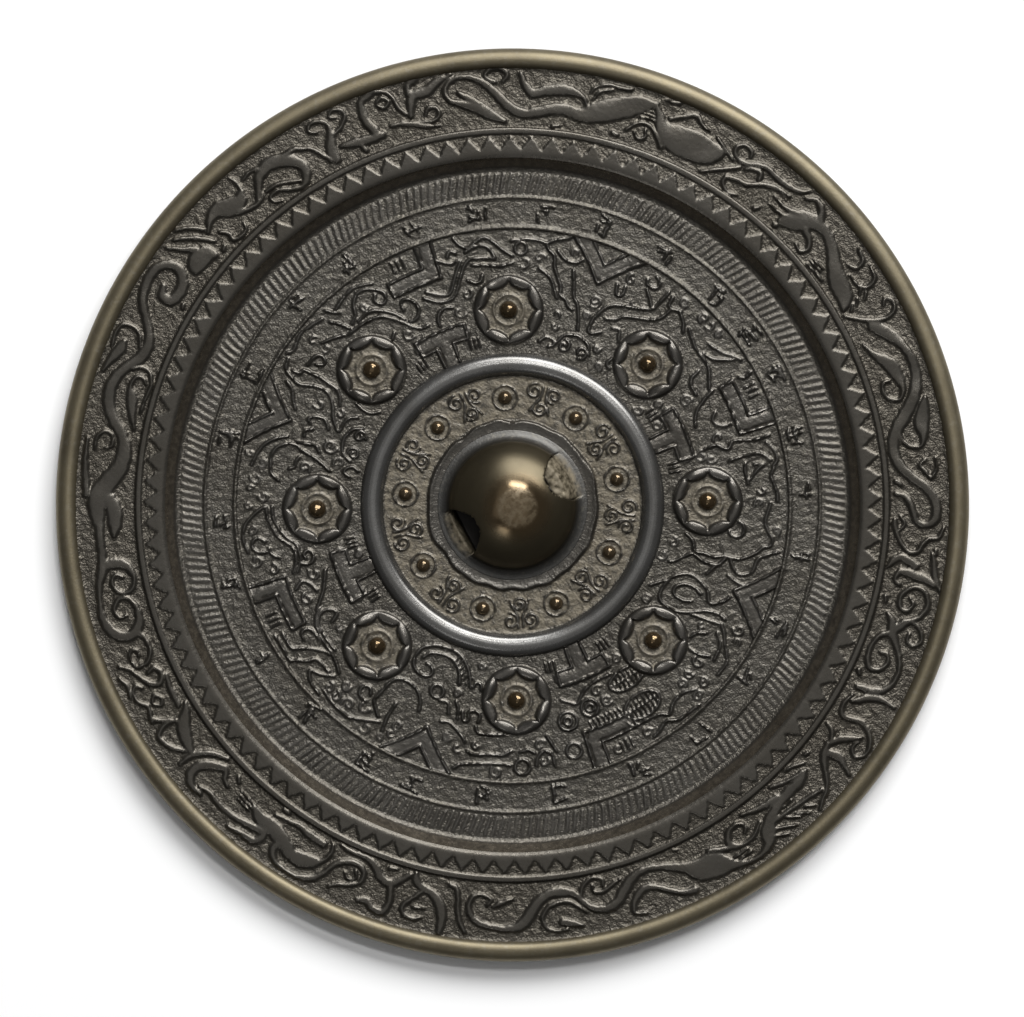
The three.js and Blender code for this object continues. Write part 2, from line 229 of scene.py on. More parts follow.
class Ring:
    """One zone of the back on a grid of turns by radii, with heights in millimetres."""

    def __init__(self, name, radii, turns, ground):
        self.name = name
        self.r = np.array(radii, float)
        self.turns = turns
        a = np.arange(turns) * 2 * math.pi / turns + math.radians(TURN)
        self.x = np.outer(np.cos(a), self.r)
        self.y = np.outer(np.sin(a), self.r)
        self.deg = np.degrees(a)[:, None] + 0 * self.x
        self.rad = 0 * self.x + self.r[None, :]
        self.ground = np.interp(self.rad, *zip(*ground))
        self.lift, self.figure, self.earth, self.warm = (np.zeros_like(self.x) for _ in range(4))
        self.wear = WEAR * waver(self, 1.5)

    def near(self, line, margin):
        """The grid rows and columns within reach of a line."""
        r = np.hypot(line[:, 0], line[:, 1])
        a = np.degrees(np.unwrap(np.arctan2(line[:, 1], line[:, 0]))) - TURN
        reach = math.degrees(margin / max(r.min() - margin, 3))
        step = 360 / self.turns
        k = np.arange(math.floor((a.min() - reach) / step), math.ceil((a.max() + reach) / step) + 1)
        j = np.nonzero((self.r > r.min() - margin) & (self.r < r.max() + margin))[0]
        return k % self.turns, j

    def stroke(self, line, rise, edge=0.34, crown=0.5, figure=1.0):
        """Raises the metal along a line; its width is the line's own."""
        for i in range(0, max(len(line) - 1, 1), STROKE_SPAN):
            piece = line[i:i + STROKE_SPAN + 1]
            margin = piece[:, 2].max() + edge
            k, j = self.near(piece, margin)
            if not len(j):
                continue
            pick = np.ix_(k, j)
            x = self.x[pick][..., None]
            y = self.y[pick][..., None]
            p, q = (piece[:-1], piece[1:]) if len(piece) > 1 else (piece, piece)
            along = q[:, :2] - p[:, :2]
            length = np.maximum((along**2).sum(1), 1e-9)
            t = np.clip(((x - p[:, 0]) * along[:, 0] + (y - p[:, 1]) * along[:, 1]) / length, 0, 1)
            gap = np.hypot(x - p[:, 0] - t * along[:, 0], y - p[:, 1] - t * along[:, 1])
            half = p[:, 2] + t * (q[:, 2] - p[:, 2])
            inside = half - gap + self.wear[pick][..., None]
            body = smooth(inside / edge + 0.5)
            top = 1 - crown + crown * rounded(gap / (half + 1e-6))
            raise_to(self.lift, pick, (rise * body * top).max(-1))
            raise_to(self.figure, pick, figure * body.max(-1))

    def dome(self, deg, radius, size, rise):
        """A small round boss."""
        a = math.radians(deg)
        spot = np.array([[radius * math.cos(a), radius * math.sin(a), size]])
        k, j = self.near(spot, size + 0.4)
        pick = np.ix_(k, j)
        gap = np.hypot(self.x[pick] - spot[0, 0], self.y[pick] - spot[0, 1])
        body = rounded(gap / size)
        raise_to(self.lift, pick, rise * body)
        raise_to(self.figure, pick, smooth(body * 2.5))
        raise_to(self.warm, pick, smooth(body * 2))

    def grain(self, amount):
        """The sandy skin of the ground, cast a little rough."""
        rough = dice.normal(size=self.x.shape)
        soft = (rough + np.roll(rough, 1, 0) + np.roll(rough, 1, 1) + np.roll(rough, (1, 1), (0, 1))) / 2
        self.lift += amount * soft * (1 - 0.85 * self.figure)

    def build(self):
        """Spins the closed profile, raises its top, and returns the piece."""
        profile = [(self.r[0], SEAT_Z)] + [(r, 3.0) for r in self.r] + [(self.r[-1], SEAT_Z)]
        mesh = spin_profile(self.name, profile, self.turns, closed=True)
        co = read_points(mesh) / MM
        k = np.rint(np.degrees(np.arctan2(co[:, 1], co[:, 0])) * self.turns / 360).astype(int) % self.turns
        j = np.abs(np.hypot(co[:, 0], co[:, 1])[:, None] - self.r[None, :]).argmin(1)
        top = co[:, 2] > SEAT_Z + 0.5
        height = self.ground + self.lift
        co[top, 2] = height[k, j][top]
        write_points(mesh, co * MM)
        for label, grid in (("figure", self.figure), ("earth", self.earth), ("warm", self.warm)):
            keep_mark(mesh, label, np.where(top, grid[k, j], 0))
        mesh.update()
        shade_smooth(mesh, sharp_from=62)
        low, high = round(float(height.min()), 2), round(float(height.max()), 2)
        print(self.name, "faces", len(mesh.polygons), "height", low, "to", high)
        return placed(self.name, mesh)


# %% [markdown]
# ## The rim frieze
# Cloud waves, leaves and long-bodied beasts run round the broad rim. Each one is a raised
# figure about half a millimetre high, with steep sides and a gently rounded top, on a
# sandy ground. Each figure below is one stem, leaf, horn or body, told as its turning
# points: degrees, radius and width. A width that stays the same is left out, and a long
# figure runs on in indented lines.

# %% Frieze figures
FRIEZE = """
29.6,76.2,.6 28.2,78.4,.9 27,81.2,1 26.6,83.8,.9 27.2,85.6 28.4,86,.8 29,84.9,.7 28.3,84.1,.6
26.4,80.4,2.6 24.6,82.2 22.6,83.9,1.9 20,84.8 17.4,84.4,2.2 15,82.8,2.6 13,80.4,2.7 11,78,2.5 8.5,76.8,2.3
 6,77.5,2.1 4,79.8,1.9 2.4,82.5,1.8 0.4,84.4,2 -1.8,84.4,1.8 -2.8,82.5,1.4 -2.2,80.6,1.3 0,79.5
 1.3,78.2,1.2 1.7,76.4,.8
24.6,76.9,.5 22.6,78.1,1.4 20.6,80.2,2.9 18.6,81,2.4 16.6,81.3,1.2 15.3,80.1,.9 15.7,78.2 17,77.3
 18.2,77.9,.8 18.2,79.1,.7
14.6,85,1 13,84,2.6 11.2,83.2,3 9.8,83.2,1.8 8.4,82.6,.9 8.2,80.8 9.2,79 10.6,78.4
6.3,82.8,.6 5.6,81.7,.9 4.7,82.6 3.8,83.6,.8 4.9,84.8,.7 6.4,84.9,.5
3.6,76.6,1 3,77.6,.8
30.6,76.8,1.2 32.2,78.2,3.4 34.5,78.8,3.8 36.6,80,3 38.6,81.6,2.5 41,82.9,2.2 43.2,82.4,3.2 44.8,80.6,4.4
 46,78.9,3 46.6,77.8,1.6
42.8,83.6,1.8 43.8,85.4,1.4 45.2,85.8,1.1 46.2,84.6,.7
43.5,80.3,1.6 41.8,79.4,1.2 40.9,77.9,1 41.4,76.5,.8 42.6,76.8,.6
45.6,81.4,1.4 47.4,80.5,.9 49.6,80.8,.6
46.4,79.3,1 48.2,78.9,.7 49.6,79,.5
36.6,85.9,.5 34.9,85.2,.9 34.5,83.4 35.5,82.3,.7
33.9,85.8,.5 32.1,85.3,.9 31.5,83.3 32.2,81.8,.8 34.2,81.3,.5
32.3,82.4,.5 31.2,80.9
31.6,82.9,.5 30.2,81.2
31,80.2,.5 30.1,79.2
30.6,78.9,.5 29.8,77.9
39.2,77.4,.5 37.2,77.8
39.3,76.8,.5 37.2,77
39.3,75.9,.5 37.8,76.1,.6 36,76.2,.8
46.6,86.2,.6 47.4,84.9,1 49.5,84,1.2 51.5,84 53.2,84.2 54.8,83.1,1.1 56.2,82.3,1 57.6,82.9 57.9,84.3,.9
 57,85.5,.8 55.8,85 55.6,84,.6
48,82.8,.6 50.5,82.1,1.1 52.3,80.8,1 53.8,79.2 55.6,78.8 57,77.9 56.7,76.5,.9 55.4,75.7,.8 54.1,76.3,.6
52.8,81.2,.9 53.2,82.7,1 54.6,82.3,.8 55.3,81.4,.5
60.6,76.4,.6 58.3,78.7,.9 56.9,80.2 56,81.3,.7
60.8,83.9,.7 58.9,82.5,.8 57.4,81.7,.6
50.8,76.4,1.1 50.4,77,.8
46.9,76.5,1.1 46.5,77,.8
59.6,81.4,2.6 61.2,80.4,5 63.5,80.2,6.2 66,80,5.6 68,80.6,3.4 69.4,83.2,1.6 70.4,85,1.1
67.8,83.2,1 66.2,84.6 64.7,85.9 63.5,84.8,.8 62.2,84.3,.5
69.1,86.3,.6 67.4,86.7,.8
73.2,78.2,.6 72,80,.7 70.4,80.6,.9 69,79.4,.8 67.4,77.2,.9
71.9,78.2,.6 71.1,77.2,.7 70.2,78 70.5,79.3,.6
70.2,84.9,1.2 72.5,83.6,3.8 75.4,81.6,4.6 78,80,4.2 80,79,2.8 82,79.5,2.4 84,79.4,2.3 86.4,78.5,2.2
 88.6,78.2,2 90.6,79.6 92.6,82.6,1.8 94.4,84.8,1.4 96.3,85.9,1.1 98.2,85.6 99.3,83.7 98.8,81.6
 97.2,80.6,1.6 95.2,79.8,2.6 93.2,78,2.2 91.2,76.6,1
97.4,82.8,.9 96.2,81.6,1.6 94.6,80
88.9,86,1.1 88.3,84,1.5 87.2,82.3,1.9 85.3,82.9,2.1 83.2,83.4,2.4 81.6,83.3,1.8 80.2,82.5,1 79.5,81.2,.7
 79.3,79.6,.5
79.3,83.6,.5 78.6,85,.7 77,86,.8 75,85.9 73.9,86.3,.5
78.7,82.4,.5 78.1,84.1,.6 76.4,85.2
72,82.4,.4 70,82.4,.5
71.8,83.2,.4 70.2,83.1,.5
71.8,81.5,.4 69.8,81.7,.5
74.9,76.8,1.1 74.2,76.7,.9
84,75.9,.8 83,76.2,.6
92.4,84.3,1 93.7,85.6,.9 93,86.9 91.5,87 90.7,85.9 91.3,84.5,.8
98.2,86.7,.9 100,85.8,1.6 101.8,84.3,2.2 103.6,84 104.3,82,1.6 104.6,80.2,1.2
102.9,86.9,1.1 104,86.3,1.4 104.2,84.6
107.8,79.4,.6 106,79.1,1 104.4,78.4,1.2 102.6,77.4,1 100.9,77.1,.5
103.6,78.6,.6 101.7,78.2,.8 100.6,79.2 100.9,80.7 102.1,80.8 102.5,79.8,.6
108.6,86.8,1 107.2,86.2,.9 106.4,84.6 106,82.4 105.2,80.8,.8
109,86.8,1.4 110.6,85.8,1.6 110.9,83.6,1.8 110.8,81.6,1.9 110.2,79.8,2 110.3,78.4,1.8
108.6,84.8,.7 107.9,85.3,.8 107.1,84.2 107.9,83.2 108.7,84.1,.7
115.6,79.3,.8 113.6,78.8,1.8 111.6,78.3,2 109.4,78.3,1.6
112.7,78,1.4 112.4,76.3,.8
116.9,77.2,1.6 117,79.4,2.4 116.2,82,1.6 115.9,84,.9 116.6,85.6 118,86,.8 118.6,84.8,.7 117.8,83.9,.6
115.8,82,1 114.5,82.8,.9 113.4,84.2 113.5,85.9,.8 114.7,86.5,.7 115.3,85.5,.6 114.6,84.9,.5
120.8,82.9,.6 119.3,81.3,.8 118.4,79.2 117.6,77.6,1.1
129.9,79.1,.8 128.8,80.8,1.4 127.6,82.7,2.2 125.8,83.5,2.8 124,82.8 122.5,81.4,2.6 121.7,79.4,2.1
 122.1,77.2,1.8 123.4,76.2,1.2 125,76.9,1 126.8,78.3,.9 128.1,78.1,.8 128.1,76.8 127.1,76.1,.6
123.6,83.2,1.4 121.6,83.2,1.1 120.2,82.2,.8
128.2,79.5,.7 126.4,79.3,.9 124.6,78.3 123.2,77.3,.8
129.6,84.2,.6 128.6,84.6,.7 127.2,84.2,.8
138.2,81.4,.7 136.8,82.8,1.6 135,83.2,3 133.4,81.8,4 132,81.4,3 130.9,82.6,1.4
133,80,1.6 132,79.2,1 130.5,78.7 129.2,79,.9 128.7,80.6
130.9,82.4,.9 130.6,84.4,.8 130.9,86.2,.6
137,79.8,.7 136.2,78.2,.9 136.4,76.9 135.2,76.2 134,76.4,.7 133.6,77.6,.5
140.8,86.6,.7 139.4,84.9,.9 138.3,82.6
142,85.8,.7 140.6,83.8,.9 139.3,81.4,1 138.5,79.4,.8
143.6,78.4,1.4 142.4,79.3,4 140.8,79,3.6 139.9,77.4,1.2
141.2,81.2,1.6 142.3,83.4,1 143.4,85.9,.7
153,82,1.7 151,84.3,1.8 148.6,85.4,2 146.4,85.3 144.9,83.4,1.9 144.9,80.8,2.1 146.6,78.9,2.4 148.9,79.2,2.3
 149.1,81.2,2 147.9,82.2,1.2
138.6,76.9,.9 138,77.2,.7
149.2,76.6,.9 148.6,76.9,.7
153,82,1.7 154.5,80.3,1.9 156.5,79.3,2.3 158.5,79.9,2.4 160.2,81.6,2 162,83,2.3 164,83.5,2.5 166.4,82.7,2.4
 168.4,80.8 170,79,2.3 172,78.2,3 174.4,78.6,3.4 176.6,80.6,3.8 178.8,82.6,4 181,82.8,3.2 183,82.5,2
 185,82.5,1.8 187,82.4 189,82.8,2 191,83.9,1.4 193.4,84.5,1.1 195.6,84.7,1.8 197.6,83.7,2.2 198.8,81.5
 198.5,79.1 197,77.8,1.8 195,77.8,1.1 193.6,79,1 193.5,80.8 194.7,82.1,.9 196,81.5,.8 196,80.1,.7
161.8,86,.7 160,85.2,1.6 158.4,84.3,2.4 157.2,84,1.2
158.2,85.9,.7 156.4,86.3,.8 155.1,85.6 154.8,83.6 155.4,81.8 156.9,80.7
168.8,76.9,.5 166.6,78,1.5 164.4,78.8,2.2 162.8,79.8,.9 161.3,79.3,.8 161,77.9 161.8,76.9,.6
160.2,80.4,.7 159.6,78.6,.8 160.1,76.8 161.8,75.9 164,76.2,.7 166.2,76.5,.5
178.6,85,1.4 176.6,85.2,1.6 174.4,85.6,1.2 172.6,85.7,.9 171,85.8,.6
172.4,84.1,.6 170.6,83.9,.7 169.7,82.4,.8 170.2,80.9 171.6,80.8,.7 172,82,.6
184.4,79.6,1 182.8,79.4,2.6 181,79.4,3.2 179.3,80.4,3
188.4,81.6,2.2 188.4,79.4 189.2,77.6,1.6 190.8,76.8,.9 192.3,77.5 192.8,79.2 192.2,80.8 190.8,81.3,.8
 190,80.3,.7 190.5,79,.6
203.5,81.6,.7 203.3,79.4,.8 202.1,77.9,.9 200.4,77.8,1 199,78.6,1.2
203.2,81.8,.6 201.8,82.2 200.8,81.3 201.3,80.2 202.1,80.4,.5
206.9,85.3,.7 205.2,84.9,.9 203.9,85.7,.7
202.4,84.8,.7 203.2,83.2,.9 204.6,82 206.2,80.6,1.2 206.8,78.8 205.6,77.6 204.4,78.4,1 204.7,79.9,.8
211,83.8,1 209,83.1,.9 207.8,84.3,.8 206.4,84.5 205.7,83.5 206.3,82.4,.7
209.7,80.6,.7 209,81.9 208,81 208.8,79.9 209.7,80.6,.6
211,77.6,1.2 208.4,77.4 206,77,1
217.3,80.8,1.6 215.4,79.9,2.6 213.6,78.8,2.8 212.4,77.2,1.8 211.2,76.2,.9
216.8,81.8,1 215.2,83.6,1.1 213.4,84.3 212.5,83,1 212.3,81 212.6,79.6
212.2,80.4,.9 211.4,82.4,1 210.5,83.8
222.8,84.8,.9 221,84.9,1.5 219.8,83.4,1.9 219.9,81 221.2,79 222.6,77.8,1.4 223.6,79.2,1.1 224.6,79.8,.8
217.9,84,.8 217.9,81.6,1.2 218.6,79.4,1.3 220,77.3,1.2 221.8,76,.9
229.3,80.5,.5 227,80.2
229.4,79.8,.5 226.9,79.4
229.2,79,.5 226.6,78.6
229.6,79.4,1.4 231.2,80.2,2.6 233.4,80.2,3.2 235.6,81.2 237.6,82.4,2.8 239.6,82.2,3.2 241,81.4,2.2
241,85.4,.9 238.6,85.8,.8 236.4,85.4,1.1 235.2,83.8,1.6 235.3,82,2
228.4,85.6,.8 230.4,84.9,1.2 232.3,84.6,1.6 233,83 232.8,81.4,1.4
232.6,82,1.6 230.6,82.6,1.5 228.4,83.3,1.2 225.8,83.6 223.4,83.3,1 221.9,84,.7
241,77.4,1.4 238.6,77.2,1.6 236.6,76.8,1.2 234.6,77.2,.9 232.6,77.8,.6
234,75.9,1 233.2,75.9
225.4,77.6,.9 224.8,77,.7
239.6,85.8,.9 241.6,84.6,1.4 242.8,82.6,1.2 243.6,80.2 244.9,78.6 246.6,78 248,79,1.1 248.1,80.9,1
 247,82.3,.9 245.4,83.2,.8 244.2,84.4,.6
246.9,79.4,.7 247.2,80.7 246.2,81.4,.6 245.4,80.5,.5
240.4,82.4,1.6 241.8,80.6,1 242.5,78.4,.9 242.2,76.6,.6
243.4,75.9,.8 245.4,76.2,1 247.4,76.1,1.2 249.2,77.1,1.6 250.5,78.7,1.8 252,79.3,1.7 253.4,78,1.4
 254.6,76.5,1.1
248.5,84.6,.9 249.6,84.1,1.5 250.8,85.1,1.4 252.2,85.2,1.6 252.7,83.4,1.4 252.6,81.6 252.3,79.9
260.2,86.2,1.5 260.3,84,1.9 260,82,2.1 259.3,80.3,2 258,78.9,1.6 256.6,78.3,1.5 255.6,77.2,1.7 255.4,75.9,1
257,78.9,1.1 255.8,80.8,.9 254.7,82.6,1 255,84.3 256.4,84.9,.8 257.4,84.3,.6
257.6,82.4,.6 256.2,82.6,.8
263.6,85.8,.7 262.8,83.8,1.1 262.3,81.4 262.1,79 261.7,77.3 260.7,76.7,.9
252.4,76.2,.7 251.4,76.4,.9
266.4,80,.6 266.9,78.9,.7 265.8,78,.8 264.4,78.4,.9 263.8,80,1.1 264.1,82,1.3 265.4,83.6 267.4,84.3
 269.6,84.5,1.6 271.2,83.8,2.2 272.4,81.9,2.4 273.6,79.5,2.2 275.4,77.9,2 277.4,77.8 279,78.5,1.4
 280,80.1,1.2 281.2,81.8,1.4 283,82.6,1.8 284.8,81.9,2.1 286.2,80,2.2 287.6,78.3,2 289.4,77.4,1.6
 291.6,77.7,1.3 293.6,78.8,1.7 295.6,80.2,2.4 297.4,81.8,4.6 299.4,82.4,5.2 301.2,83.8,2.6 303,85.1,1.3
 305.2,85.6,1.2 307,84.8,2 308,83,3.2 309.4,81.2,2.6 311.6,79.9,2 314,79.4,2.2 316.2,79.4,2.1 317.8,78.8,1
270,78.6,.5 268.4,79.4,1.2 267.2,80.2,.6
279.6,85,.6 278.2,84.3,1.5 276.9,83.8,1.6
277.4,85.3,.7 275.8,85.4 274.6,84.4,.8 274.2,82.6,.9 274.9,80.8 276.4,79.9 278,79.8 279.2,81,.7
 280.4,82.6,.5
280.2,80.2,.7 280,78.6,.8 280.7,77 282,76 283.4,76.7,.7 283.4,78
286,77.6,.5 284.6,78.3,.9 283.2,79.1 281.9,78.8,.7 281.8,77.5,.6
295.4,85,1.6 293.8,84.4,1.2 292.2,82.9 290.6,81.4 289.3,80.8,1.5 287.9,81.6,1.6 286.9,83.4,1.2 286.8,85,.8
 288.2,85.6,.6
295.4,76.2,.6 294.8,75.7,.5
312,78.8,1.8 310.4,78.3,1.5 308.6,77.8,1.2 306.4,76.8,.7
317.4,78.4,.8 315.8,78.1,.9 314,77.2,1 312.4,76.2,.8
318.4,77.6,.7 317,76.4,.8 315.6,75.8,.6
309,81.9,1.1 311,82 313.4,82.5,1 315.6,83.1 317.4,83.8,.8
308.4,84.2,.6 310,85.6
309.2,83.3,.7 311.6,85.3,.6
311.2,82.8,.6 312.8,84.6
312.6,83.6,.6 314,85.2
314.2,83.8,.6 315.2,85,.5
304.6,83.8,.6 302.2,84.2
304.4,83,.6 301.6,83.2
308,80.2,.6 306.2,81.6,.9 304.4,81.9 302.9,81,1.5 302.8,79.4 303.8,77.9,1.1 305.2,77.8,.9 305.9,79,.8
 305.3,80.2,.6
303.4,81.6,1 301.4,80.4,1.2 299.6,79.4
313.4,80.9,.5 311.9,81
311,79.2,.4 310,78.9
322.9,78.9,1.2 321.4,79.6,1.6 320,81.3,1.2 318.9,83.2,1 317.6,84.7,.9 316.4,85.4 315.3,86.4,.6
322,80.4,1.8 322.3,82.4 321.8,84.4,1 321.3,86.2,.7
326.3,83.6,.7 325.4,82,1.4 324.6,80.4,1.6 323.4,79.2,1.4
325.3,76.4,.8 324.8,78,1.1 323.6,79
330.8,77.6,.8 329,77,1 327.6,77.9,1.2 327.7,80 328.1,82 327.4,84.4 326,86,1 324.6,86.1,.9 323.7,84.8
 324.4,83.3,.8 325.5,83.6,.6
320,76.9,.9 319.5,76.6,.8
332,86.2,.7 332.2,84,1.1 332,82,1.6 331.4,80.4 330.6,79.2,1.3 330,78.2,.9
332.5,79.6,1.6 332.3,77.6,1.1
344,77.8,.7 343,79.2,1.6 341.4,80,2 340,81.4,1.3 338.4,83,1.1 336.6,83.9,1 334.8,83.7,1.1 333.4,82.6,1.4
 332.6,80.8,1.6
341.2,79.2,1.4 340.4,77.7,1 338.8,76.9 336.9,77,1.2 335.6,78.3 335.8,80.1,1 337.1,81.1,.9 338.3,80.4,.8
 338.2,79,.7
342.4,80.4,1.4 343.5,81.6,1.1 343.7,83.2,1 343,85,.9 341.6,85.9 340.6,84.8,.8 341,83.2 342,83.2,.6
342,80.6,1.4 343.6,82.4,1.1 344.6,84.2 346.2,85.2 347.8,84.5 348.5,82.7,1 348,80.8 346.6,79.5 345.2,80
 345,81.5 346,82.3,.8 346.8,81.5,.6
348.7,86.8,.8 350.4,85.5,1.5 352.4,84.8,1.2 353.4,84.2,.6
349.2,85.6,1.2 349.8,83.8,1.7 350,81.8,1.9 350.3,79.8,1.8 350.2,78.3,1.2 349,77.7,.9 348.4,78.8,.8
351.3,81.4,1.5 352,79.6,1.8 352.3,78,1.6 351.6,76.6,1.5 350.8,76,.8
357,86.1,.6 355.6,85.2,.9 355.4,83.4 354.6,82.2,1 353.5,81.4 353.2,79.8 354,78.3,.9 355.2,77.3,1
 356.6,76.5,1.2 357.8,76.3,1
358.3,77.4,.7 357.3,78.3 356.3,77.4,.6
346.2,76.5,1 345.6,76.8,.8
334.6,76.5,1.1 334.1,77,.8
353.9,84.9,.8 353.3,85,.6
"""
FRIEZE_RISE = 0.52
frieze = Ring("rim_frieze", even(75.2, 87.1, 0.25), 1940, [(75.2, FRIEZE_Z), (87.1, FRIEZE_Z)])
for points in told(FRIEZE):
    frieze.stroke(flowing(points), FRIEZE_RISE, edge=0.5, crown=0.35)
frieze.lift *= 0.9 + 0.12 * waver(frieze, 9)
frieze.grain(0.034)
frieze.lift += 0.045 * waver(frieze, 2.2) * (1 - frieze.figure)
frieze.ground += 0.12 * smooth((frieze.rad - 86.6) / 0.5) + 0.4 * smooth((75.5 - frieze.rad) / 0.3)
frieze_piece = frieze.build()

# %% [markdown]
# ## Saw teeth and thread
# Inside the frieze a thin plain band and a row of saw teeth edge the broad rim. The teeth
# were left standing when the ground between them was cut, and wear has rounded them.

# %% Saw teeth
TEETH = 109
TOOTH_ROOT = 71.0
TOOTH_TIP = 73.75
TOOTH_DEPTH = 0.3
THREAD_MIDDLE = 74.6
saw = Ring("saw_tooth_band", np.r_[even(69.3, 70.9, 0.4), even(71.1, 75.3, 0.2)], TEETH * 14,
           [(69.3, 5.0), (69.9, 5.2), (70.8, BAND_Z), (75.3, BAND_Z)])
pitch = 2 * math.pi * saw.rad / TEETH
across = np.abs(((saw.deg + 0.5) * TEETH / 360) % 1 - 0.5) * pitch
tooth_half = (TOOTH_TIP - saw.rad) / (TOOTH_TIP - TOOTH_ROOT) * pitch / 2
in_tooth = np.maximum(tooth_half - across, TOOTH_ROOT - saw.rad) + 0.1 * waver(saw, 1.4)
in_thread = np.minimum(saw.rad - 74.0, 75.25 - saw.rad)
standing = np.maximum(smooth(in_tooth / 0.5 + 0.5), smooth(in_thread / 0.4 + 0.5))
saw.figure = standing.copy()
saw.lift = -TOOTH_DEPTH * (1 - standing) + 0.05 * rounded((saw.rad - THREAD_MIDDLE) / 0.7)
saw.grain(0.03)
saw_piece = saw.build()

# %% [markdown]
# ## Comb band and step
# The back steps down from the broad rim to the inner field. A band of short slanting
# strokes lies at the foot of the step, as if drawn with a comb.

# %% Comb band
COMB_STROKES = 276
COMB_RISE = 0.18
STEP_FOOT = 67.2
comb = Ring("comb_band", np.r_[even(61.3, 62.3, 0.2), even(62.7, 66.3, 0.45), even(66.5, 69.4, 0.22)],
            COMB_STROKES * 6, [(61.3, 2.95), (61.5, 3.0), (61.9, 2.76), (62.2, FIELD_Z),
                               (66.7, FIELD_Z + 0.02), (67.3, 2.95), (68.9, 4.4), (69.4, 5.0)])
phase = (comb.deg / 360 * COMB_STROKES + (comb.rad - 64) * 0.16 + 0.15 * waver(comb, 14)) % 1
reach = smooth((comb.rad - 62.0) / 0.5) * smooth((66.6 - comb.rad) / 0.5)
bar = smooth(1.6 - 4.6 * np.abs(phase - 0.5)) * reach
comb.lift = COMB_RISE * bar * (0.8 + 0.3 * waver(comb, 9))
comb.figure = 0.6 * bar + smooth((comb.rad - STEP_FOOT) / 0.4)
comb.earth = 0.2 * smooth((comb.rad - STEP_FOOT - 0.2) / 0.6)
comb.warm = 0.25 * smooth((comb.rad - STEP_FOOT) / 0.8)
comb.grain(0.015)
comb_piece = comb.build()

# %% [markdown]
# ## Inscription band
# A ring of small signs stood here in low relief. They are worn past reading, so each one
# is a group of shallow strokes in its place and not a letter.

# %% Inscription band
SIGN_PLACES = (2.5, 14, 26, 35.5, 46, 59, 72, 83.5, 97, 110, 124.5, 137, 153, 167, 184,
               196, 211, 226, 240, 250, 264, 279, 296, 309, 323.5, 335, 349)
SIGN_WIDTH = 0.5
SIGN_RISE = 0.5
SHORTEST = 0.8
signs = Ring("inscription_band", even(55.0, 61.4, 0.23), 1500,
             [(55.0, 2.8), (55.5, 3.1), (56.0, 2.75), (56.3, FIELD_Z), (60.7, FIELD_Z),
              (61.0, 2.75), (61.4, 2.98)])


def sign_stroke(start, end):
    signs.stroke(straight([start, end], SIGN_WIDTH), SIGN_RISE, edge=0.28, figure=0.9)


for place in SIGN_PLACES:
    w = dice.uniform(1.5, 1.95)
    for _ in range(5):
        a, b = dice.uniform(-w, w, 2)
        r = dice.uniform(56.6, 60.2)
        if abs(b - a) > SHORTEST:
            sign_stroke((place + a, r), (place + b, r + dice.uniform(-0.7, 0.7)))
    for _ in range(5):
        x = dice.uniform(-w, w)
        a, b = sorted(dice.uniform(56.4, 60.4, 2))
        if b - a > SHORTEST:
            sign_stroke((place + x, a), (place + x + dice.uniform(-0.5, 0.5), b))
signs.lift += 0.04 * waver(signs, 1.9) * (1 - signs.figure)
signs.grain(0.02)
signs_piece = signs.build()

# %% [markdown]
# ## Main field
# Eight rosettes divide the field, each a raised ring whose inner edge is eight linked
# arcs about a bright boss. Between them stand the marks shaped like T, L and V that give
# this kind of mirror its pattern, and spirit beasts and clouds drawn in thin raised
# threads, much worn. The threads are told as the frieze is, all of one width.

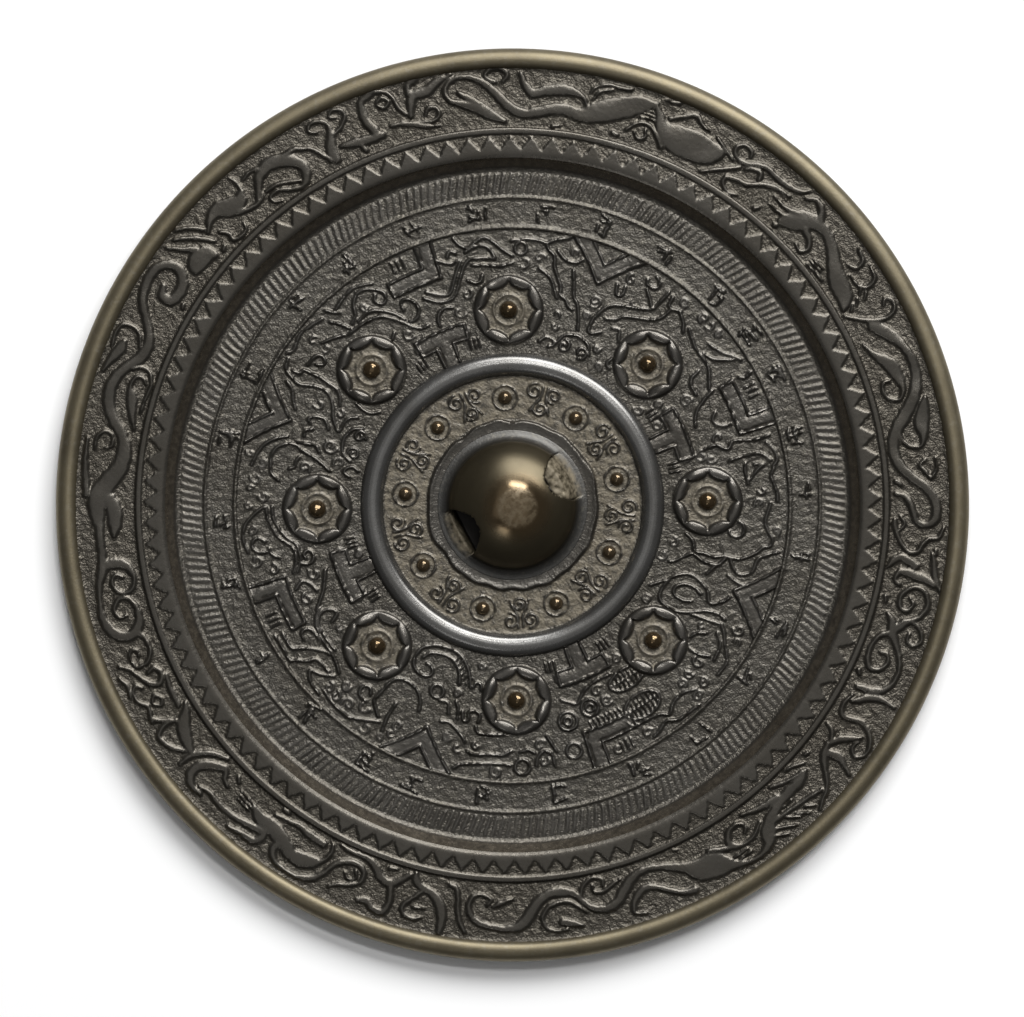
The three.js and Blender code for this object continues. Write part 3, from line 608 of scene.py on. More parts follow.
# %% Main field
FIELD = """
15.3,53.2 15.1,50.5 15.6,48 16.2,46 14.6,44.4 16.4,42.4 16.2,40
13.9,52.2 11.8,53.4 9.6,53.6 8.6,52.6
9.8,52.4 11.8,50.6 12,48 11.8,45.5 11.4,44.2
8.2,52.8 6.6,52 4.6,52.4 2.6,52.9 .8,53
10.2,47.2 8,47 5,47.4
9.6,49 9.2,50.8 8.4,49.6 6,47.6
29.8,46 28.8,43.6 27.3,41.6 25.4,40.4 23.2,39.8
24.6,44.6 23.4,43.6 22,43.6 20.6,44.8 20.3,46.4
45,49.8 42.5,48.8 40,48.1 36.5,48.1 34.5,47.6 32.5,46.6 30.5,45.7
39.3,50.7 36,51.8 34,53.2 32.4,54.1
38.5,48.7 36,49.6 34,51.8 33.2,53
29.2,54.5 28.8,53 29.4,52
35.8,45.8 35.2,43.8 33.4,42.9 31,42.8
53.6,52.8 54,50.4 54.3,48.4 55.6,47.4 58.6,46.2 61.6,45.3 64.1,44.2 65.6,42.4 66.6,40.4 66.6,38.4 65.6,37.7
 63,38.8
49,51.2 50.8,50.4 51.2,49 51.8,47.4 53.6,46 56.6,44.8 59.6,43.6 61,42.4 63.6,41.6
60.6,40.6 58.6,41 57.6,39.6 56,38 55.5,36 56.4,34 54.6,33.4
64.6,48.8 64.2,47.6 63.3,46.8 62.4,47.6 62.6,49
59,52.6 58.4,51.6 56.6,51.8 56.3,53 57.6,54
58,50.8 56,49.2 54.6,48
52.3,52.4 52,50.8 51,50.4
49,51 47,50 45.5,48.6
90.3,52.8 86.4,53.2 82.9,52.8 81.9,51.6 80.4,50.4 80,48.4 79,46.8 77.6,44.8 77.4,43
83.5,47.6 80.5,46 79,44 78,42.4
75.4,48.4 74.5,46 73.5,43.4 72,42 70.5,39.6 69.6,37.4
77.5,43 75.5,42.4 74.5,41.4 73,40.8
79.8,51.6 77.9,50.2 75.4,50 74,51
82.4,52.8 80.9,53.6 78.4,54.4 77.2,55.2
80.7,33.2 78.8,34.2 76.2,34 75.6,33 77.4,32.4
113.2,45 110.7,43.4 108.2,42.8 105.7,43.2 104,45 102.7,47 101.4,48.8 99.7,49.8 96.2,49.6 94.2,49.4
112,45.8 108,44 106,44.4 104.8,46 103.4,48 102,49.8
99.5,48.6 96,48.2 93,47.8 90,48.4
102.6,54.6 101.6,53 99.9,52.2 98.1,53 96.1,53.8 94.1,52.6 92.1,51 90.1,49.8
100.6,51.4 98.1,52.2 96,52 94.6,50.6 94.1,49.4
112,38.6 111.8,40 110.5,41.2 108.5,41.6 107,41.2
104.8,51.2 104,52.2 102.8,51.6
107.1,51 104.6,49.8 102.6,50
101.2,45.8 99.6,45 98.1,45.2 97.4,46.4
119.2,44.6 118.9,46 117.6,46.4 115.9,45.2 115.5,43.6 116.5,42.2 118.2,41.8 119.2,42
134.2,47.4 130.2,47 127.2,46.6 124.7,45.8 122.7,44.2 121,42.6 119.5,41 117.5,39.8 115,39.6
130,48 126.5,48 124,46.8 121.6,44.8 120.2,42.8
133,52.4 130,53.2 127,53.8 125,53.4 122.5,52.4
131.5,48.4 129.5,49.4 128.3,51.2 126.5,52.4 124.5,52.2 122.5,51 121.3,49.8 121.4,48.4 122.8,47.8 124,49
 123.2,50.2
134,54 133,52.6 132,51.6
134.9,51.6 133.5,49.8 132.7,48
126,40.8 124.4,41.8
170.2,33 169.2,34.2 167.6,34 166.6,32.8 167.6,31.6
174,47 172.5,48.6 170.5,49 168.5,49.2 166.5,48.6 165,47 164.5,45 165.4,43.4 166.2,41.4 167.4,39.4
 169.4,37.2
171.2,52.8 169.7,52.4 167.7,51.8 165.7,50.6 164.2,49 163.1,47
170.8,45.2 170,44.2 168.6,44.2 167.2,43.6
163.6,44.8 163.4,42.8 163.2,41 164.6,40
161.6,43.8 160.2,44 159.2,42.8
158,43.6 157,44.2 156,43.4 155.4,41.6 156.4,40.4 157.6,39.8
146.8,53.6 149,52.8 150,50.8 150.4,49 149.6,47.2 148.8,45.6 148.6,43.6 149.6,42 152,40.6 154,39.8 157,37.8
 152.6,37.2 150.6,35.6
148.5,51.6 148.2,50 147,49.6 146.8,48 146.4,46 146.6,44 146.6,42 148,40.6 150,39.8
147,37.2 147.5,35.4 147,33.6 145,32.4
144.4,48.4 143.6,47.2 142.4,47.2 142,48.6 143.2,49.4 145.6,49.6
146,54.4 144.6,53.6 141.6,54.4 138.7,54 135.7,53.2
139.6,50 137.2,49 134.7,47.8
151.2,51.4 152.2,49.8 154.7,48.4 156.1,47.4
197.2,45.8 195.2,44.8 192.7,44.4 190.7,44.8 189.2,46 187.8,47.2 185.3,48.2 182.8,49 180.4,49.2
197.2,45 194.7,43.8 192.2,43.6 190.2,44 188.7,45.2 186.8,46.4 183.4,47.8 180.4,48
190.8,50 190.6,51.6 189.4,52.6 188,52.4 187.4,51.2 188.4,50
190.3,53.6 187.3,54.2 184.4,53.6 182.4,52 180.9,50.4 180.4,49.4
192.8,47.8 191.4,49.2 190,49.4
195.2,44.2 196.1,42.4 195.2,41.2 193.7,41 192.4,41.8 193.2,42.8 194.4,42.6
201.2,46.4 200,44.8 201.2,43.4 203.7,42.6
208.2,44.4 206.2,42.8 204.2,41.4 202.2,40.6 199.2,39.6
212.8,42.8 212,41.4 211,41.2 209.8,42 209.2,43.4 210.2,44.8 212.2,45.6 216.2,45.8 219.2,45.8
208.2,43.6 209.7,45.2 212.2,46.2 216.2,46.6 219.2,46.6 222.2,47.4 224.2,48.2
212.8,49.6 211.2,49.2 211,48 212.2,47.2 214.7,47
208.8,54.2 212.3,54 214.8,54.2 215.8,53 217.3,51.4 218.3,49.8 222.3,49.6
209.3,52.6 212.8,52.6 213.8,51.4 215.3,49.6 217.3,48 219.8,46.8
224.3,54 221.3,53.6 219.3,52.2 221.3,51.2 223.8,49.4
257,37.4 256,35.2 254,33.2 251,31.8 247.5,31.3 243.5,31.5 240,32.4 237.5,34 237.3,36 238.5,37.6 241,38.4
 243.5,38.2 244.5,37.2 243.5,36.2 241.5,35.9
253.5,37.2 252.5,35.2 250.5,33.6 247.5,32.9 244.5,33 241,33.8 239.6,35.2
255.5,44 255,42 254,40.8
253,43.6 252,41.6 249.5,41.6
258.6,48.2 257.6,47.2 255.6,46 253.6,45.2 251.6,45.6
261,44 261.2,42.4 259.5,41.8 258,42.4 258.4,43.6 257.2,44.2 256.4,42.4
260.5,37.6 260,36.4 258.5,36.2 257.7,37.2
245.5,45.2 245,43.6 243.5,42 241.5,41.2 239,41 236.5,41.6 235.3,43.2 235,45.2 234.6,47.6 236.1,49 237.6,50
240,52 239.5,49.6 239.5,47.6 239.6,46
233.1,47.2 232.5,46.4 231.1,46.4 230.4,47.4 231.1,48.6 233.1,49
238.5,50.8 235.6,52 233.1,53.2 231.6,53.6 227.6,53.4 224.6,52.8
269.7,52 265.7,51.8 261.7,52.2 258.7,52.8 257.2,53.8
269.7,49.2 267.6,50 265.1,50 261.6,50.4 259.6,50
269.6,45.8 265.6,46 261.6,46 260.6,44.8
315,52 312,50.6 309,51 307,52.2 305,51 302,50.6 299,50.4 297.8,49.4
313,54.6 308,54.2 305.5,53 303,53.8 301.5,54.2
300,39 296,38.8 292,39.4 290,40.4 288,41.8 286,41 284,40.2
279.3,53 279,50.4 277.3,49.6 275.8,50.6 275.3,52.2
275.2,49.8 273.8,49 271.8,49.4
280.2,50 279.2,48 278.5,46.6
360.4,51.6 356.4,50.6 354.4,51.2 352.4,52.4 350.9,52 350.4,50.8 348.9,49.6 346.9,47.2 346.5,45.6 346.5,44
350,54 349,52 347.5,50.2 344.4,49.6 343,47.6 344,46 346.5,44.4 344.6,43.2 342.6,42 340.6,41.2
346.4,54.6 344.4,52.8 342.4,50.8 341.1,49.2 340.9,47.6 342,45.2
344.1,43.2 343.4,41.2 343.9,39.2 344.9,37.2 343.1,35.6 340.8,34 340.3,33.2
346.6,43.6 345.6,41.6 345.9,39.6 345.9,37.6 348.7,36.8 350.7,35.2
337.1,47.2 335.1,46 333.6,44 336.1,42.6 337.8,40.6 338.7,38.2 337.2,36 334.7,34.6 330.7,34.2 327.7,34.8
 326.7,36.6 327.2,39.2 328.7,41.2 331.2,44 332.1,46.6 331.6,48.2
334.7,41.6 335.7,39.6 335.2,37.6 333.2,36.4 331.2,36.8 330.7,38.6 331.7,40.6
330.1,47.6 329.6,45.6 329.1,43.6 328.6,42
330.4,48 328.5,49.6 326.4,51 325.4,52 323.4,53.2 320.4,53.2
328.1,48.2 326,50 322.5,50.8
326.6,46.4 325.1,44.8 323.1,44.2 321.1,45.2 321.3,47.6 322.5,49.6
333.8,34 331.8,32.8 329.8,31.8
"""
T_MARKS = [23 + 90 * i for i in range(4)]
V_MARKS = [69 + 90 * i for i in range(4)]
THREAD = 0.62
CLOUD_RISE = 0.34
ROSETTE_AT = 39.0
ROSETTE_EDGE = 7.2
ROUND_CURLS = ((88.1, 51.3, 1.2), (290.9, 43.3, 1.7), (290.9, 43.3, 0.8), (284.4, 44.6, 1.8),
               (284.4, 44.6, 0.8), (284.1, 50.6, 1.5), (272.2, 52.4, 1.5), (353.9, 45, 1.6),
               (248, 40.1, 1.3))
WING_OVALS = ((303, 47.6, 4.7, 2.4), (303.3, 41.4, 5.2, 2.0))


def rosette(ring, deg):
    """The lobed ring about one boss."""
    a = math.radians(deg)
    cx, cy = ROSETTE_AT * math.cos(a), ROSETTE_AT * math.sin(a)
    k, j = ring.near(np.array([[cx, cy, 0.0]]), 7.3)
    pick = np.ix_(k, j)
    dx, dy = ring.x[pick] - cx, ring.y[pick] - cy
    rho = np.hypot(dx, dy)
    lobe = (np.arctan2(dy, dx) * 8 / (2 * math.pi)) % 1
    arc = rounded(2 * lobe - 1)
    inner = 6.15 - 1.55 * arc
    body = smooth(np.minimum(6.85 - rho, rho - inner) / 0.5 + 0.5)
    petal = arc * np.clip(1 - ((rho - 5.75) / 1.1)**2, 0, 1)
    low_ring = np.exp(-((rho - 3.0) / 0.32)**2)
    boss = rounded(rho / 1.75)
    lift = np.where(rho < ROSETTE_EDGE, 0, ring.lift[pick]) + (0.6 * body + 0.32 * petal) + 0.3 * low_ring
    ring.lift[pick] = np.maximum(lift, 1.75 * boss)
    figure = np.where(rho < ROSETTE_EDGE, body, ring.figure[pick])
    ring.figure[pick] = np.maximum(figure, np.maximum(smooth(boss * 2), 0.5 * low_ring))
    earth = 0.45 * smooth((inner - rho) / 0.5) * (1 - smooth(boss * 2))
    raise_to(ring.earth, pick, earth)
    raise_to(ring.warm, pick, smooth(boss * 2))


def thread(ring, *corners, rise=0.4, width=THREAD):
    ring.stroke(straight(corners, width), rise, edge=0.3)


def plate(ring, *corners, width=2.4):
    ring.stroke(straight(corners, width), 0.2, figure=0.6)


def marks(ring):
    """The T, L and V marks: low plates with a thread along every edge, and ticks beside them."""
    for c in T_MARKS:
        thread(ring, (c - 2.9, 30.6), (c - 2.9, 34.5), (c - 8.1, 34.5), (c - 8.1, 37.5),
               (c + 8.1, 37.5), (c + 8.1, 34.5), (c + 2.9, 34.5), (c + 2.9, 30.6))
        plate(ring, (c - 7.6, 36), (c + 7.6, 36))
        plate(ring, (c, 30.6), (c, 36))
        for step in (-11.4, -9.9, -8.4, 8.4, 9.9, 11.4):
            thread(ring, (c + step, 32.3), (c + step, 34.0), rise=0.3, width=0.45)
        thread(ring, (c + 6.5, 47.6), (c + 6.5, 50.5), (c - 2.2, 50.5), (c - 2.2, 55.2))
        thread(ring, (c + 6.5, 47.6), (c - 5.6, 47.6), (c - 5.6, 55.2))
        plate(ring, (c + 5.8, 49), (c - 3.9, 49), (c - 3.9, 55), width=2.2)
        for step in (1.4, 2.6, 3.8):
            thread(ring, (c + step, 52.0), (c + step, 54.0), rise=0.3, width=0.45)
    for c in V_MARKS:
        thread(ring, (c - 7.9, 55.2), (c, 47.4), (c + 7.9, 55.2))
        thread(ring, (c - 3.9, 55.2), (c, 51.3), (c + 3.9, 55.2))
        plate(ring, (c - 5.9, 55.2), (c, 49.3), (c + 5.9, 55.2), width=2.2)


def beasts_and_clouds(ring):
    """The threads told above, round curls, two ribbed wings, feathers and two arched pairs."""
    for points in told(FIELD, THREAD):
        ring.stroke(flowing(points), CLOUD_RISE, figure=0.9)
    for deg, r, size in ROUND_CURLS:
        ring.stroke(curl(deg, r, size, 0, 360, THREAD, 1.0), CLOUD_RISE)
    rib = partial(thread, ring, rise=0.28, width=0.4)
    for c, r, half, tall in WING_OVALS:
        oval = [(c + half * math.cos(t), r + tall * math.sin(t)) for t in np.linspace(0, 2 * math.pi, 19)]
        ring.stroke(straight(oval, THREAD), CLOUD_RISE)
        for d in np.linspace(-0.75, 0.75, 7):
            tip = tall * math.sqrt(1 - d * d)
            rib((c + half * d, r - tip), (c + half * d, r + tip))
        rib((c - half, r), (c + half, r))
    for d in np.linspace(289.5, 297.5, 8):
        rib((d, 45.8), (d + 0.4, 47.4))
    for d in np.linspace(251, 257, 6):
        rib((d, 31.9 + (d - 251) * 0.6), (d - 1.6, 33.4 + (d - 251) * 0.6))
    for c in (69, 159):
        for side in (-1, 1):
            ring.stroke(curl(c + side * 3.2, 33.4, 1.3, 90 - side * 90, -side * 420, THREAD), CLOUD_RISE)
        arch = [(c - 6, 33.6), (c - 4, 35.4), (c, 36.2), (c + 4, 35.4), (c + 6, 33.6)]
        ring.stroke(flowing([(deg, r, THREAD) for deg, r in arch]), CLOUD_RISE)


def wisps(ring, wanted):
    """Small curls of cloud in the places still empty."""
    made = 0
    for _ in range(wanted * 12):
        deg, r = dice.uniform(0, 360), dice.uniform(ring.r[0] + 1.4, ring.r[-1] - 1.4)
        size, start = dice.uniform(0.7, 1.5), dice.uniform(0, 360)
        sweep = dice.uniform(200, 470) * dice.choice((-1, 1))
        line = curl(deg, r, size, start, sweep, THREAD)
        k, j = ring.near(line, 0.25)
        if made < wanted and len(j) and ring.lift[np.ix_(k, j)].max() < 0.1:
            ring.stroke(line, dice.uniform(0.2, CLOUD_RISE), figure=0.8)
            made += 1
    print(ring.name, "wisps", made)


field_rings = []
for name, radii, turns, rosettes in (("inner_field", even(30.3, 46.6, 0.24), 1180, 8),
                                     ("outer_field", even(46.6, 55.05, 0.25), 1380, 0)):
    zone = Ring(name, radii, turns, [(30.3, FIELD_Z), (54.9, FIELD_Z), (55.05, 2.78)])
    beasts_and_clouds(zone)
    marks(zone)
    zone.lift *= 1.4
    for i in range(rosettes):
        rosette(zone, 1.15 + 45 * i)
    wisps(zone, 48)
    zone.lift *= 0.95 + 0.2 * waver(zone, 8)
    zone.lift += 0.048 * waver(zone, 1.9) * (1 - zone.figure)
    zone.grain(0.024)
    field_rings.append(zone.build())

# %% [markdown]
# ## Boss band, knob collar and plain ring
# Nine small bosses and nine groups of curls circle the knob inside a smooth convex ring.
# The collar at the knob's foot has a wandering edge, and pale tan earth still fills the
# ground beyond it.

# %% Boss band and collar
COLLAR_EDGE = 17.2
SCROLL = 0.5
SCROLL_RISE = 0.42
BAND_GROUND = [(15.0, 3.26), (15.8, 3.27), (16.6, 3.42), (16.85, 3.38), (17.25, FIELD_Z),
               (25.5, FIELD_Z), (25.9, 2.85)]
inner = Ring("boss_band", np.r_[even(15.0, 16.4, 0.35), even(16.6, 25.9, 0.2)], 720, BAND_GROUND)
wander = 0.3 * waver(inner, 6) * (inner.rad > 16.2)
inner.ground = np.interp(inner.rad + wander, *zip(*BAND_GROUND))
for i in range(9):
    c = 14 + 40 * i
    inner.dome(c, 21.5, 1.35, 1.25)
    inner.stroke(curl(c, 21.5, 2.45, 0, 360, 0.4, 1.0), 0.3)
    c = 34 + 40 * i
    for side in (-1, 1):
        inner.stroke(curl(c + side * 5.0, 23.2, 1.6, 90 - side * 100, side * 480, SCROLL), SCROLL_RISE)
        stem = [(1.2, 24.4), (1.4, 22.2), (3.6, 20.6), (5.6, 19.2)]
        inner.stroke(flowing([(c + side * deg, r, SCROLL) for deg, r in stem]), SCROLL_RISE)
    inner.stroke(curl(c, 20.0, 1.5, 90, 500, SCROLL), SCROLL_RISE)
inner.figure = np.maximum(inner.figure, 0.7 * smooth((COLLAR_EDGE - inner.rad - wander) / 0.4))
in_band = smooth((inner.rad - 17.0) / 0.6) * smooth((25.9 - inner.rad) / 0.5)
inner.earth = in_band * (1 - 0.8 * inner.figure) * 0.6
inner.lift += 0.045 * waver(inner, 1.8) * (1 - inner.figure)
inner.warm *= 0.9
inner.grain(0.024)
inner_piece = inner.build()

ridge = Ring("plain_ring", even(25.85, 30.4, 0.28), 300,
             [(25.85, 2.85), (26.1, 3.25), (26.6, 3.85), (27.2, 4.12), (28.1, 4.25), (29.1, 4.1),
              (29.8, 3.7), (30.2, 3.1), (30.4, FIELD_Z)])
ridge.figure[:] = 1
ridge_piece = ridge.build()

# %% [markdown]
# ## Disc, edge and lip
# The plain disc under the ornament: the gently domed reflecting face it lies on, flat in
# its middle, the rounded edge, and the worn lip that guards the rim.

# %% Disc
FLAT_R = 30
FACE_CURVE = 5000


def face_z(r):
    return max(0.0, (r * r - FLAT_R**2) / FACE_CURVE)


face = [(r, 0) for r in (0, 15, FLAT_R)] + [(r, face_z(r)) for r in (40, 50, 60, 70, 80, 87, 90.0)]
edge = [(90.55, 1.55), (90.95, 1.95), (RADIUS - 0.03, 2.6), (RADIUS, 3.5), (91.12, 4.3), (90.95, 4.85)]
lip = [(90.6, 5.3), (90.1, 5.65), (89.5, 5.9), (88.9, LIP_Z), (88.3, 5.95), (87.8, 5.75), (87.4, 5.42),
       (87.15, 5.05), (87.0, 4.7), (86.95, 4.2)]
seat = [(86.9, SEAT_Z + 0.05), (0, SEAT_Z + 0.05)]
disc_mesh = spin_profile("disc", face + edge + lip + seat, 480)
shade_smooth(disc_mesh, sharp_from=50)
disc = placed("disc_and_lip", disc_mesh)
print("disc faces", len(disc_mesh.polygons))

# %% [markdown]
# ## Knob
# The knob was cast over a clay core that left an arched way through it for the cord. Its
# crown is polished by handling. Old earth fills the right mouth almost flush and lies on
# the sill of the left one, which is otherwise open, its inside painted black as shade.

# %% Knob
KNOB_R = 13.3
KNOB_BASE = 3.2
KNOB_RISE = 8.2
HOLE_FLOOR = 3.35
HOLE_HALF = 5.0
HOLE_SPRING = 4.85
HOLE_ARCH = 4.8
CORE_END = 0.03
PIT_DEPTH = 0.8


def cord_core():
    """The clay core: an arch as wide and high as the hole, longer than the knob."""
    bm = bmesh.new()
    outline = [(HOLE_HALF * math.cos(t), HOLE_SPRING + HOLE_ARCH * math.sin(t))
               for t in np.linspace(0, math.pi, 25)]
    outline += [(-HOLE_HALF, HOLE_FLOOR), (HOLE_HALF, HOLE_FLOOR)]
    end = bm.faces.new([bm.verts.new((-CORE_END, y * MM, z * MM)) for y, z in outline])
    grown = bmesh.ops.extrude_face_region(bm, geom=[end])["geom"]
    far = [v for v in grown if isinstance(v, bmesh.types.BMVert)]
    bmesh.ops.translate(bm, vec=(2 * CORE_END, 0, 0), verts=far)
    bmesh.ops.recalc_face_normals(bm, faces=bm.faces)
    mesh = bpy.data.meshes.new("core")
    bm.to_mesh(mesh)
    bm.free()
    return placed("core", mesh)


def knob_piece():
    """The dome on its flared foot, with the core taken out and its edges worn."""
    dome = [(KNOB_R * math.cos(t), KNOB_BASE + KNOB_RISE * math.sin(t))
            for t in np.linspace(0.3, math.pi / 2, 24)[:-1]]
    foot = [(0, 2.2), (15.2, 2.2), (15.2, 3.24), (14.6, 3.3), (14.0, 3.5), (13.5, 3.82), (13.1, 4.3),
            (12.85, 4.9)]
    piece = placed("knob", spin_profile("knob", foot + dome + [(0, KNOB_BASE + KNOB_RISE)], 160))
    core = cord_core()
    cut = piece.modifiers.new("core", "BOOLEAN")
    cut.operation = "DIFFERENCE"
    cut.solver = "EXACT"
    cut.object = core
    skin = piece.modifiers.new("skin", "REMESH")
    skin.mode = "VOXEL"
    skin.voxel_size = 0.22 * MM
    wear = piece.modifiers.new("wear", "SMOOTH")
    wear.factor = 0.5
    wear.iterations = 6
    bpy.context.view_layer.update()
    worn = piece.evaluated_get(bpy.context.evaluated_depsgraph_get())
    done = bpy.data.meshes.new_from_object(worn)
    piece.modifiers.clear()
    piece.data = done
    bpy.data.objects.remove(core)
    return piece


def pack_earth(mesh):
    """Heaps earth in both mouths, sinks the pit of the left one, and keeps the marks, painted shade inside
    the hole among them.
    """
    co = read_points(mesh) / MM
    x, y, z = co.T
    out = np.hypot(x, y)
    lumps = sum(np.sin(x * (1.1 + 0.5 * i) * math.cos(i) + y * (1.1 + 0.5 * i) * math.sin(i) + w)
                for i, w in enumerate(dice.uniform(0, 6.28, 9))) / 9
    in_mouth = smooth((HOLE_HALF - 0.1 - np.abs(y)) / 0.5) * (z < 4.0) * (z > 3.0)
    in_mouth = in_mouth * smooth((14.2 - out) / 0.8)
    right_heap = smooth((x - 4.0) / 4.0) * (0.3 + 4.2 * smooth((13.6 - out) / 3.2))
    left_heap = smooth((-x - 10.9) / 1.2) * (0.4 + 0.6 * smooth((13.6 - out) / 1.5))
    arch_room = HOLE_ARCH * rounded(y / HOLE_HALF) + HOLE_SPRING - HOLE_FLOOR - 0.25
    heap = np.minimum(right_heap + left_heap, arch_room) * (1 + 0.06 * lumps)
    pit = smooth((-x - 6.5) / 1.5) * smooth((x + 11.4) / 0.8)
    z += in_mouth * np.minimum(heap, arch_room + 0.1)
    z -= PIT_DEPTH * in_mouth * pit
    earth = smooth((HOLE_HALF + 0.2 - np.abs(y)) / 0.6) * smooth((np.maximum(x, -x - 2.6) - 8.0) / 1.0)
    earth = earth * (z < HOLE_FLOOR + arch_room + 0.2) * smooth((14.3 - out) / 1.0)
    below_skin = KNOB_BASE + KNOB_RISE * rounded(out / KNOB_R) - z
    in_hole = (np.abs(y) < HOLE_HALF + 0.2) * (1 - np.clip(earth * 2, 0, 1))
    off_crown = np.hypot(x - 0.6, y + 0.9)
    write_points(mesh, co * MM)
    keep_mark(mesh, "figure", smooth((13.4 - out) / 0.9))
    # Painted shade: the inside of the hole, below the dome's skin and clear of earth, is marked to be
    # coloured near black, as its shadow.
    keep_mark(mesh, "painted_hole_shade", smooth((below_skin - 0.5) / 0.8) * in_hole)
    keep_mark(mesh, "warm", 0.85 * smooth((8.2 - off_crown) / 4.2) * (z > 7))
    # On the crown, a little off its middle, the same mark also lays a pale grey-tan spot.
    keep_mark(mesh, "earth", np.maximum(earth, 0.36 * smooth((4.5 - off_crown) / 0.9) * (z > 9)))
    mesh.update()
    shade_smooth(mesh)


knob = knob_piece()
pack_earth(knob.data)
print("knob faces", len(knob.data.polygons))

# %% [markdown]
# ## Finish
# Old bronze gone dark brown-grey: smooth figures glossier than the sandy ground, olive
# where wear has kept the lip bare, warm brown on bosses and crown, pale tan earth in the
# recesses, and near black painted shade inside the hole. It is mixed from the marks kept
# on each piece and from fine noise through the metal.

# %% Finish
EARTH_TONE = (0.19, 0.16, 0.11, 1)
# Near black painted in as the shade inside the knob's hole.
PAINTED_SHADE_BLACK = (0.008, 0.007, 0.006, 1)
DARK_PATINA = (0.035, 0.029, 0.02, 1)
DUST = (0.19, 0.175, 0.142, 1)
WARM_TONE = (0.118, 0.082, 0.044, 1)
GREY_BLACK = (0.074, 0.068, 0.058, 1)
SANDY = (0.068, 0.061, 0.05, 1)
FIELD_SMOOTH = (0.09, 0.084, 0.075, 1)
FIELD_GROUND = (0.076, 0.07, 0.06, 1)
STEEL_GREY = (0.15, 0.147, 0.141, 1)
COLLAR_GREY = (0.092, 0.09, 0.085, 1)
OLIVE = (0.15, 0.128, 0.084, 1)
DARK_OLIVE = (0.07, 0.058, 0.036, 1)
GRAIN_DEPTH = 0.00016


def feed(tree, socket, value):
    """Gives a socket a plain value, or joins it to another node."""
    if isinstance(value, bpy.types.NodeSocket):
        tree.links.new(value, socket)
    else:
        socket.default_value = value


def node(tree, kind, **values):
    made = tree.nodes.new(kind)
    for key, value in values.items():
        if key in made.inputs:
            feed(tree, made.inputs[key], value)
        else:
            setattr(made, key, value)
    return made


def mix_colour(tree, factor, first, second):
    made = node(tree, "ShaderNodeMix", data_type="RGBA")
    for place, value in ((0, factor), (6, first), (7, second)):
        feed(tree, made.inputs[place], value)
    return made.outputs[2]


def combine(tree, operation, first, second, clamp=False):
    made = node(tree, "ShaderNodeMath", operation=operation, use_clamp=clamp)
    feed(tree, made.inputs[0], first)
    feed(tree, made.inputs[1], second)
    return made.outputs[0]


def noise_at(tree, where, scale, detail, rough):
    made = node(tree, "ShaderNodeTexNoise", Vector=where, Scale=scale, Detail=detail, Roughness=rough)
    return made.outputs["Fac"]


def ramp(tree, value, low, high):
    limits = {"Value": value, "From Min": low, "From Max": high}
    return node(tree, "ShaderNodeMapRange", **limits).outputs["Result"]


def bronze_finish(name, smooth_tone, ground_tone, gloss, grain):
    """One bronze: its tone, shine and grain go by the marks on the piece and by noise."""
    material = bpy.data.materials.new(name)
    material.use_nodes = True
    tree = material.node_tree
    shader = tree.nodes["Principled BSDF"]
    plus, minus, times = (partial(combine, tree, step) for step in ("ADD", "SUBTRACT", "MULTIPLY"))
    mixed = partial(mix_colour, tree)
    noise = partial(noise_at, tree, tree.nodes.new("ShaderNodeTexCoord").outputs["Object"])
    figure, earth, warm, painted_hole_shade = (
        node(tree, "ShaderNodeAttribute", attribute_name=label).outputs["Fac"]
        for label in ("figure", "earth", "warm", "painted_hole_shade"))
    sand = noise(2900, 1.0, 0.5)
    gritty = noise(1500, 2.0, 0.5)
    cloud = noise(90, 4.0, 0.6)
    speck = noise(900, 5.0, 0.65)
    rough_part = minus(1.0, figure)
    soil = times(earth, ramp(tree, speck, 0.3, 0.62), True)
    dusty = times(ramp(tree, speck, 0.52, 0.7), rough_part)

    tone = mixed(warm, mixed(figure, ground_tone, smooth_tone), WARM_TONE)
    tone = mixed(times(ramp(tree, cloud, 0.42, 0.68), 0.3), tone, DARK_PATINA)
    tone = mixed(times(dusty, 0.4), tone, DUST)
    # Painted shade: near black laid over the tone inside the knob's hole, after the earth.
    tone = mixed(painted_hole_shade, mixed(soil, tone, EARTH_TONE), PAINTED_SHADE_BLACK)
    shine = minus(0.85, times(soil, 0.7))
    dull = plus(gloss, times(rough_part, 0.12))
    dull = plus(dull, times(minus(speck, 0.5), 0.1))
    dull = plus(dull, times(soil, 0.35))
    dull = minus(dull, times(warm, gloss * 0.75), True)
    coarse = plus(0.08, times(rough_part, 0.92))
    coarse = times(coarse, minus(1.0, times(earth, 0.35)))

    bump = node(tree, "ShaderNodeBump", Distance=GRAIN_DEPTH, Strength=times(coarse, grain),
                Height=plus(sand, gritty)).outputs["Normal"]
    for label, value in (("Base Color", tone), ("Metallic", shine), ("Roughness", dull), ("Normal", bump)):
        feed(tree, shader.inputs[label], value)
    return material


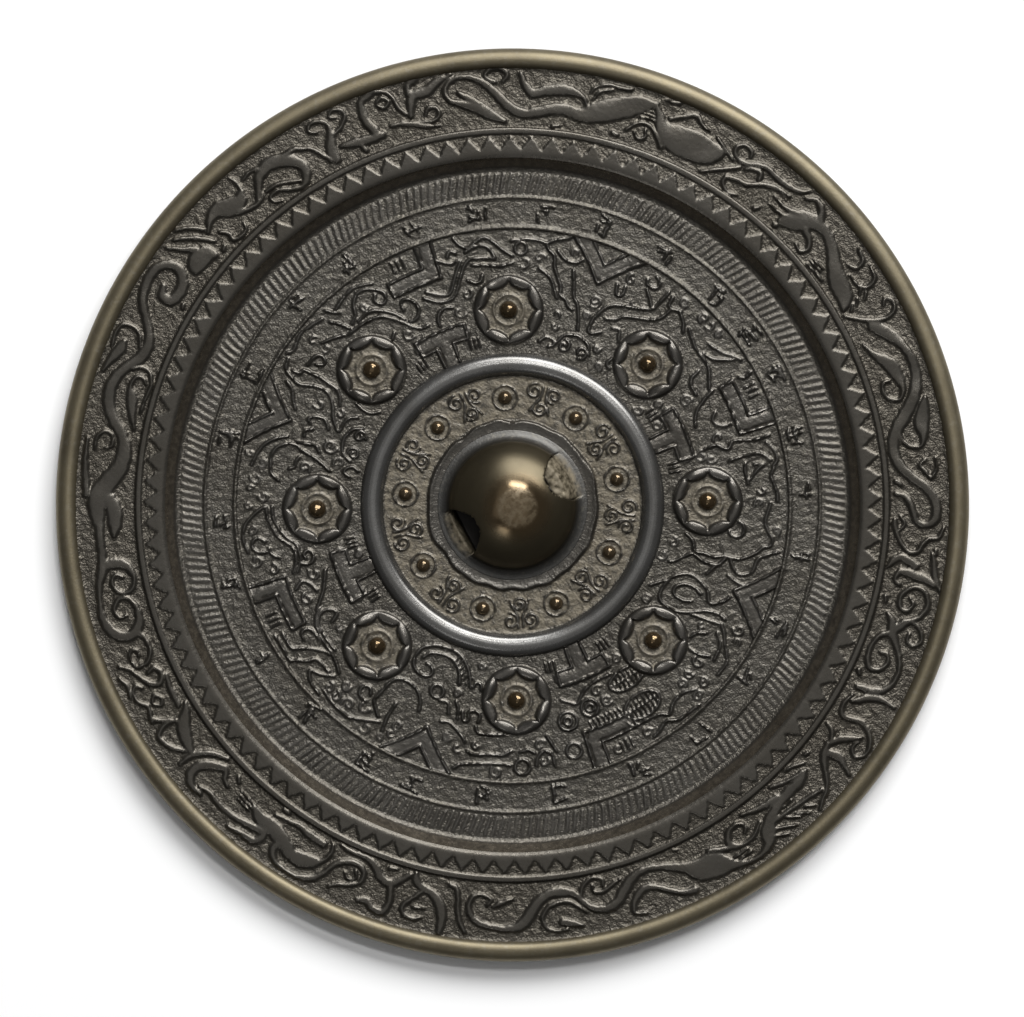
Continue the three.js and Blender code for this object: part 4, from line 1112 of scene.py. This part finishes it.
relief_finish = bronze_finish("relief_bronze", GREY_BLACK, SANDY, gloss=0.28, grain=0.9)
field_finish = bronze_finish("field_bronze", FIELD_SMOOTH, FIELD_GROUND, gloss=0.26, grain=0.7)
ring_finish = bronze_finish("ring_bronze", STEEL_GREY, SANDY, gloss=0.27, grain=0.6)
lip_finish = bronze_finish("lip_bronze", OLIVE, OLIVE, gloss=0.34, grain=0.1)
knob_finish = bronze_finish("knob_bronze", DARK_OLIVE, COLLAR_GREY, gloss=0.34, grain=0.25)
finishes = {frieze_piece: relief_finish, saw_piece: relief_finish, comb_piece: field_finish,
            signs_piece: field_finish, field_rings[0]: field_finish, field_rings[1]: field_finish,
            inner_piece: field_finish, ridge_piece: ring_finish, disc: lip_finish, knob: knob_finish}
for piece, finish in finishes.items():
    piece.data.materials.append(finish)
    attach(piece, "root")
    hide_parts("mirror")
print("pieces finished:", len(finishes))

# %% [markdown]
# ## Table, light and camera
# The mirror lies on a plain white table. A large soft box stands low on the far side, so
# the tops of figures stay dark and their far shoulders shine. A small key above it puts
# the bright spot on the knob. A faint panel hangs overhead, and a weak fill lifts the near
# side. The camera looks straight down, with the cord hole pointing up to the right.

# %% Stage
LAMP_DISTANCE = 2.6
VIEW_WIDTH = 0.2042
ORNAMENT_HEIGHT = 0.005
SHIFT_UP = -0.0007
SHIFT_RIGHT = -0.0001

table_mesh = bpy.data.meshes.new("table")
bm = bmesh.new()
bmesh.ops.create_grid(bm, x_segments=1, y_segments=1, size=1.5)
bm.to_mesh(table_mesh)
bm.free()
table = placed("table", table_mesh)
paper = bpy.data.materials.new("paper")
paper.use_nodes = True
for label, value in (("Base Color", (0.9, 0.9, 0.9, 1)), ("Roughness", 0.9), ("Specular IOR Level", 0.0)):
    paper.node_tree.nodes["Principled BSDF"].inputs[label].default_value = value
table_mesh.materials.append(paper)


def lamp(name, azimuth, elevation, wide, deep, watts):
    """A light panel that looks at the mirror; the azimuth is counted as the ornament is."""
    data = bpy.data.lights.new(name, "AREA")
    data.shape = "RECTANGLE"
    data.size = wide
    data.size_y = deep
    data.energy = watts
    light = bpy.data.objects.new(name, data)
    a, e = math.radians(azimuth - TURN), math.radians(elevation)
    level = LAMP_DISTANCE * math.cos(e)
    light.location = (level * math.cos(a), level * math.sin(a), LAMP_DISTANCE * math.sin(e))
    light.rotation_euler = (-light.location).to_track_quat("-Z", "Y").to_euler()
    light.visible_camera = False
    bpy.context.scene.collection.objects.link(light)


lamp("key_light", 75, 67, 0.8, 0.26, 16)
lamp("soft_box", 70, 41, 2.3, 1.2, 96)
lamp("fill_light", 250, 57, 0.5, 0.5, 2.6)
lamp("overhead_panel", 75, 89.5, 1.8, 1.8, 4.5)
world = bpy.data.worlds.new("room")
world.use_nodes = True
world.node_tree.nodes["Background"].inputs[0].default_value = (1, 1, 1, 1)
world.node_tree.nodes["Background"].inputs[1].default_value = 0.08
bpy.context.scene.world = world
bpy.context.scene.view_settings.view_transform = "Standard"

lens = bpy.data.cameras.new("camera")
lens.lens = 220
lens.sensor_width = 36
lens.clip_start = 0.01
lens.clip_end = 20
camera = placed("camera", lens)
up, right = math.radians(90 - TURN), math.radians(-TURN)
camera.location = (SHIFT_UP * math.cos(up) + SHIFT_RIGHT * math.cos(right),
                   SHIFT_UP * math.sin(up) + SHIFT_RIGHT * math.sin(right),
                   VIEW_WIDTH * lens.lens / lens.sensor_width + ORNAMENT_HEIGHT)
camera.rotation_euler = (0, 0, right)
bpy.context.scene.camera = camera
print("camera height", round(camera.location.z, 3), "m")
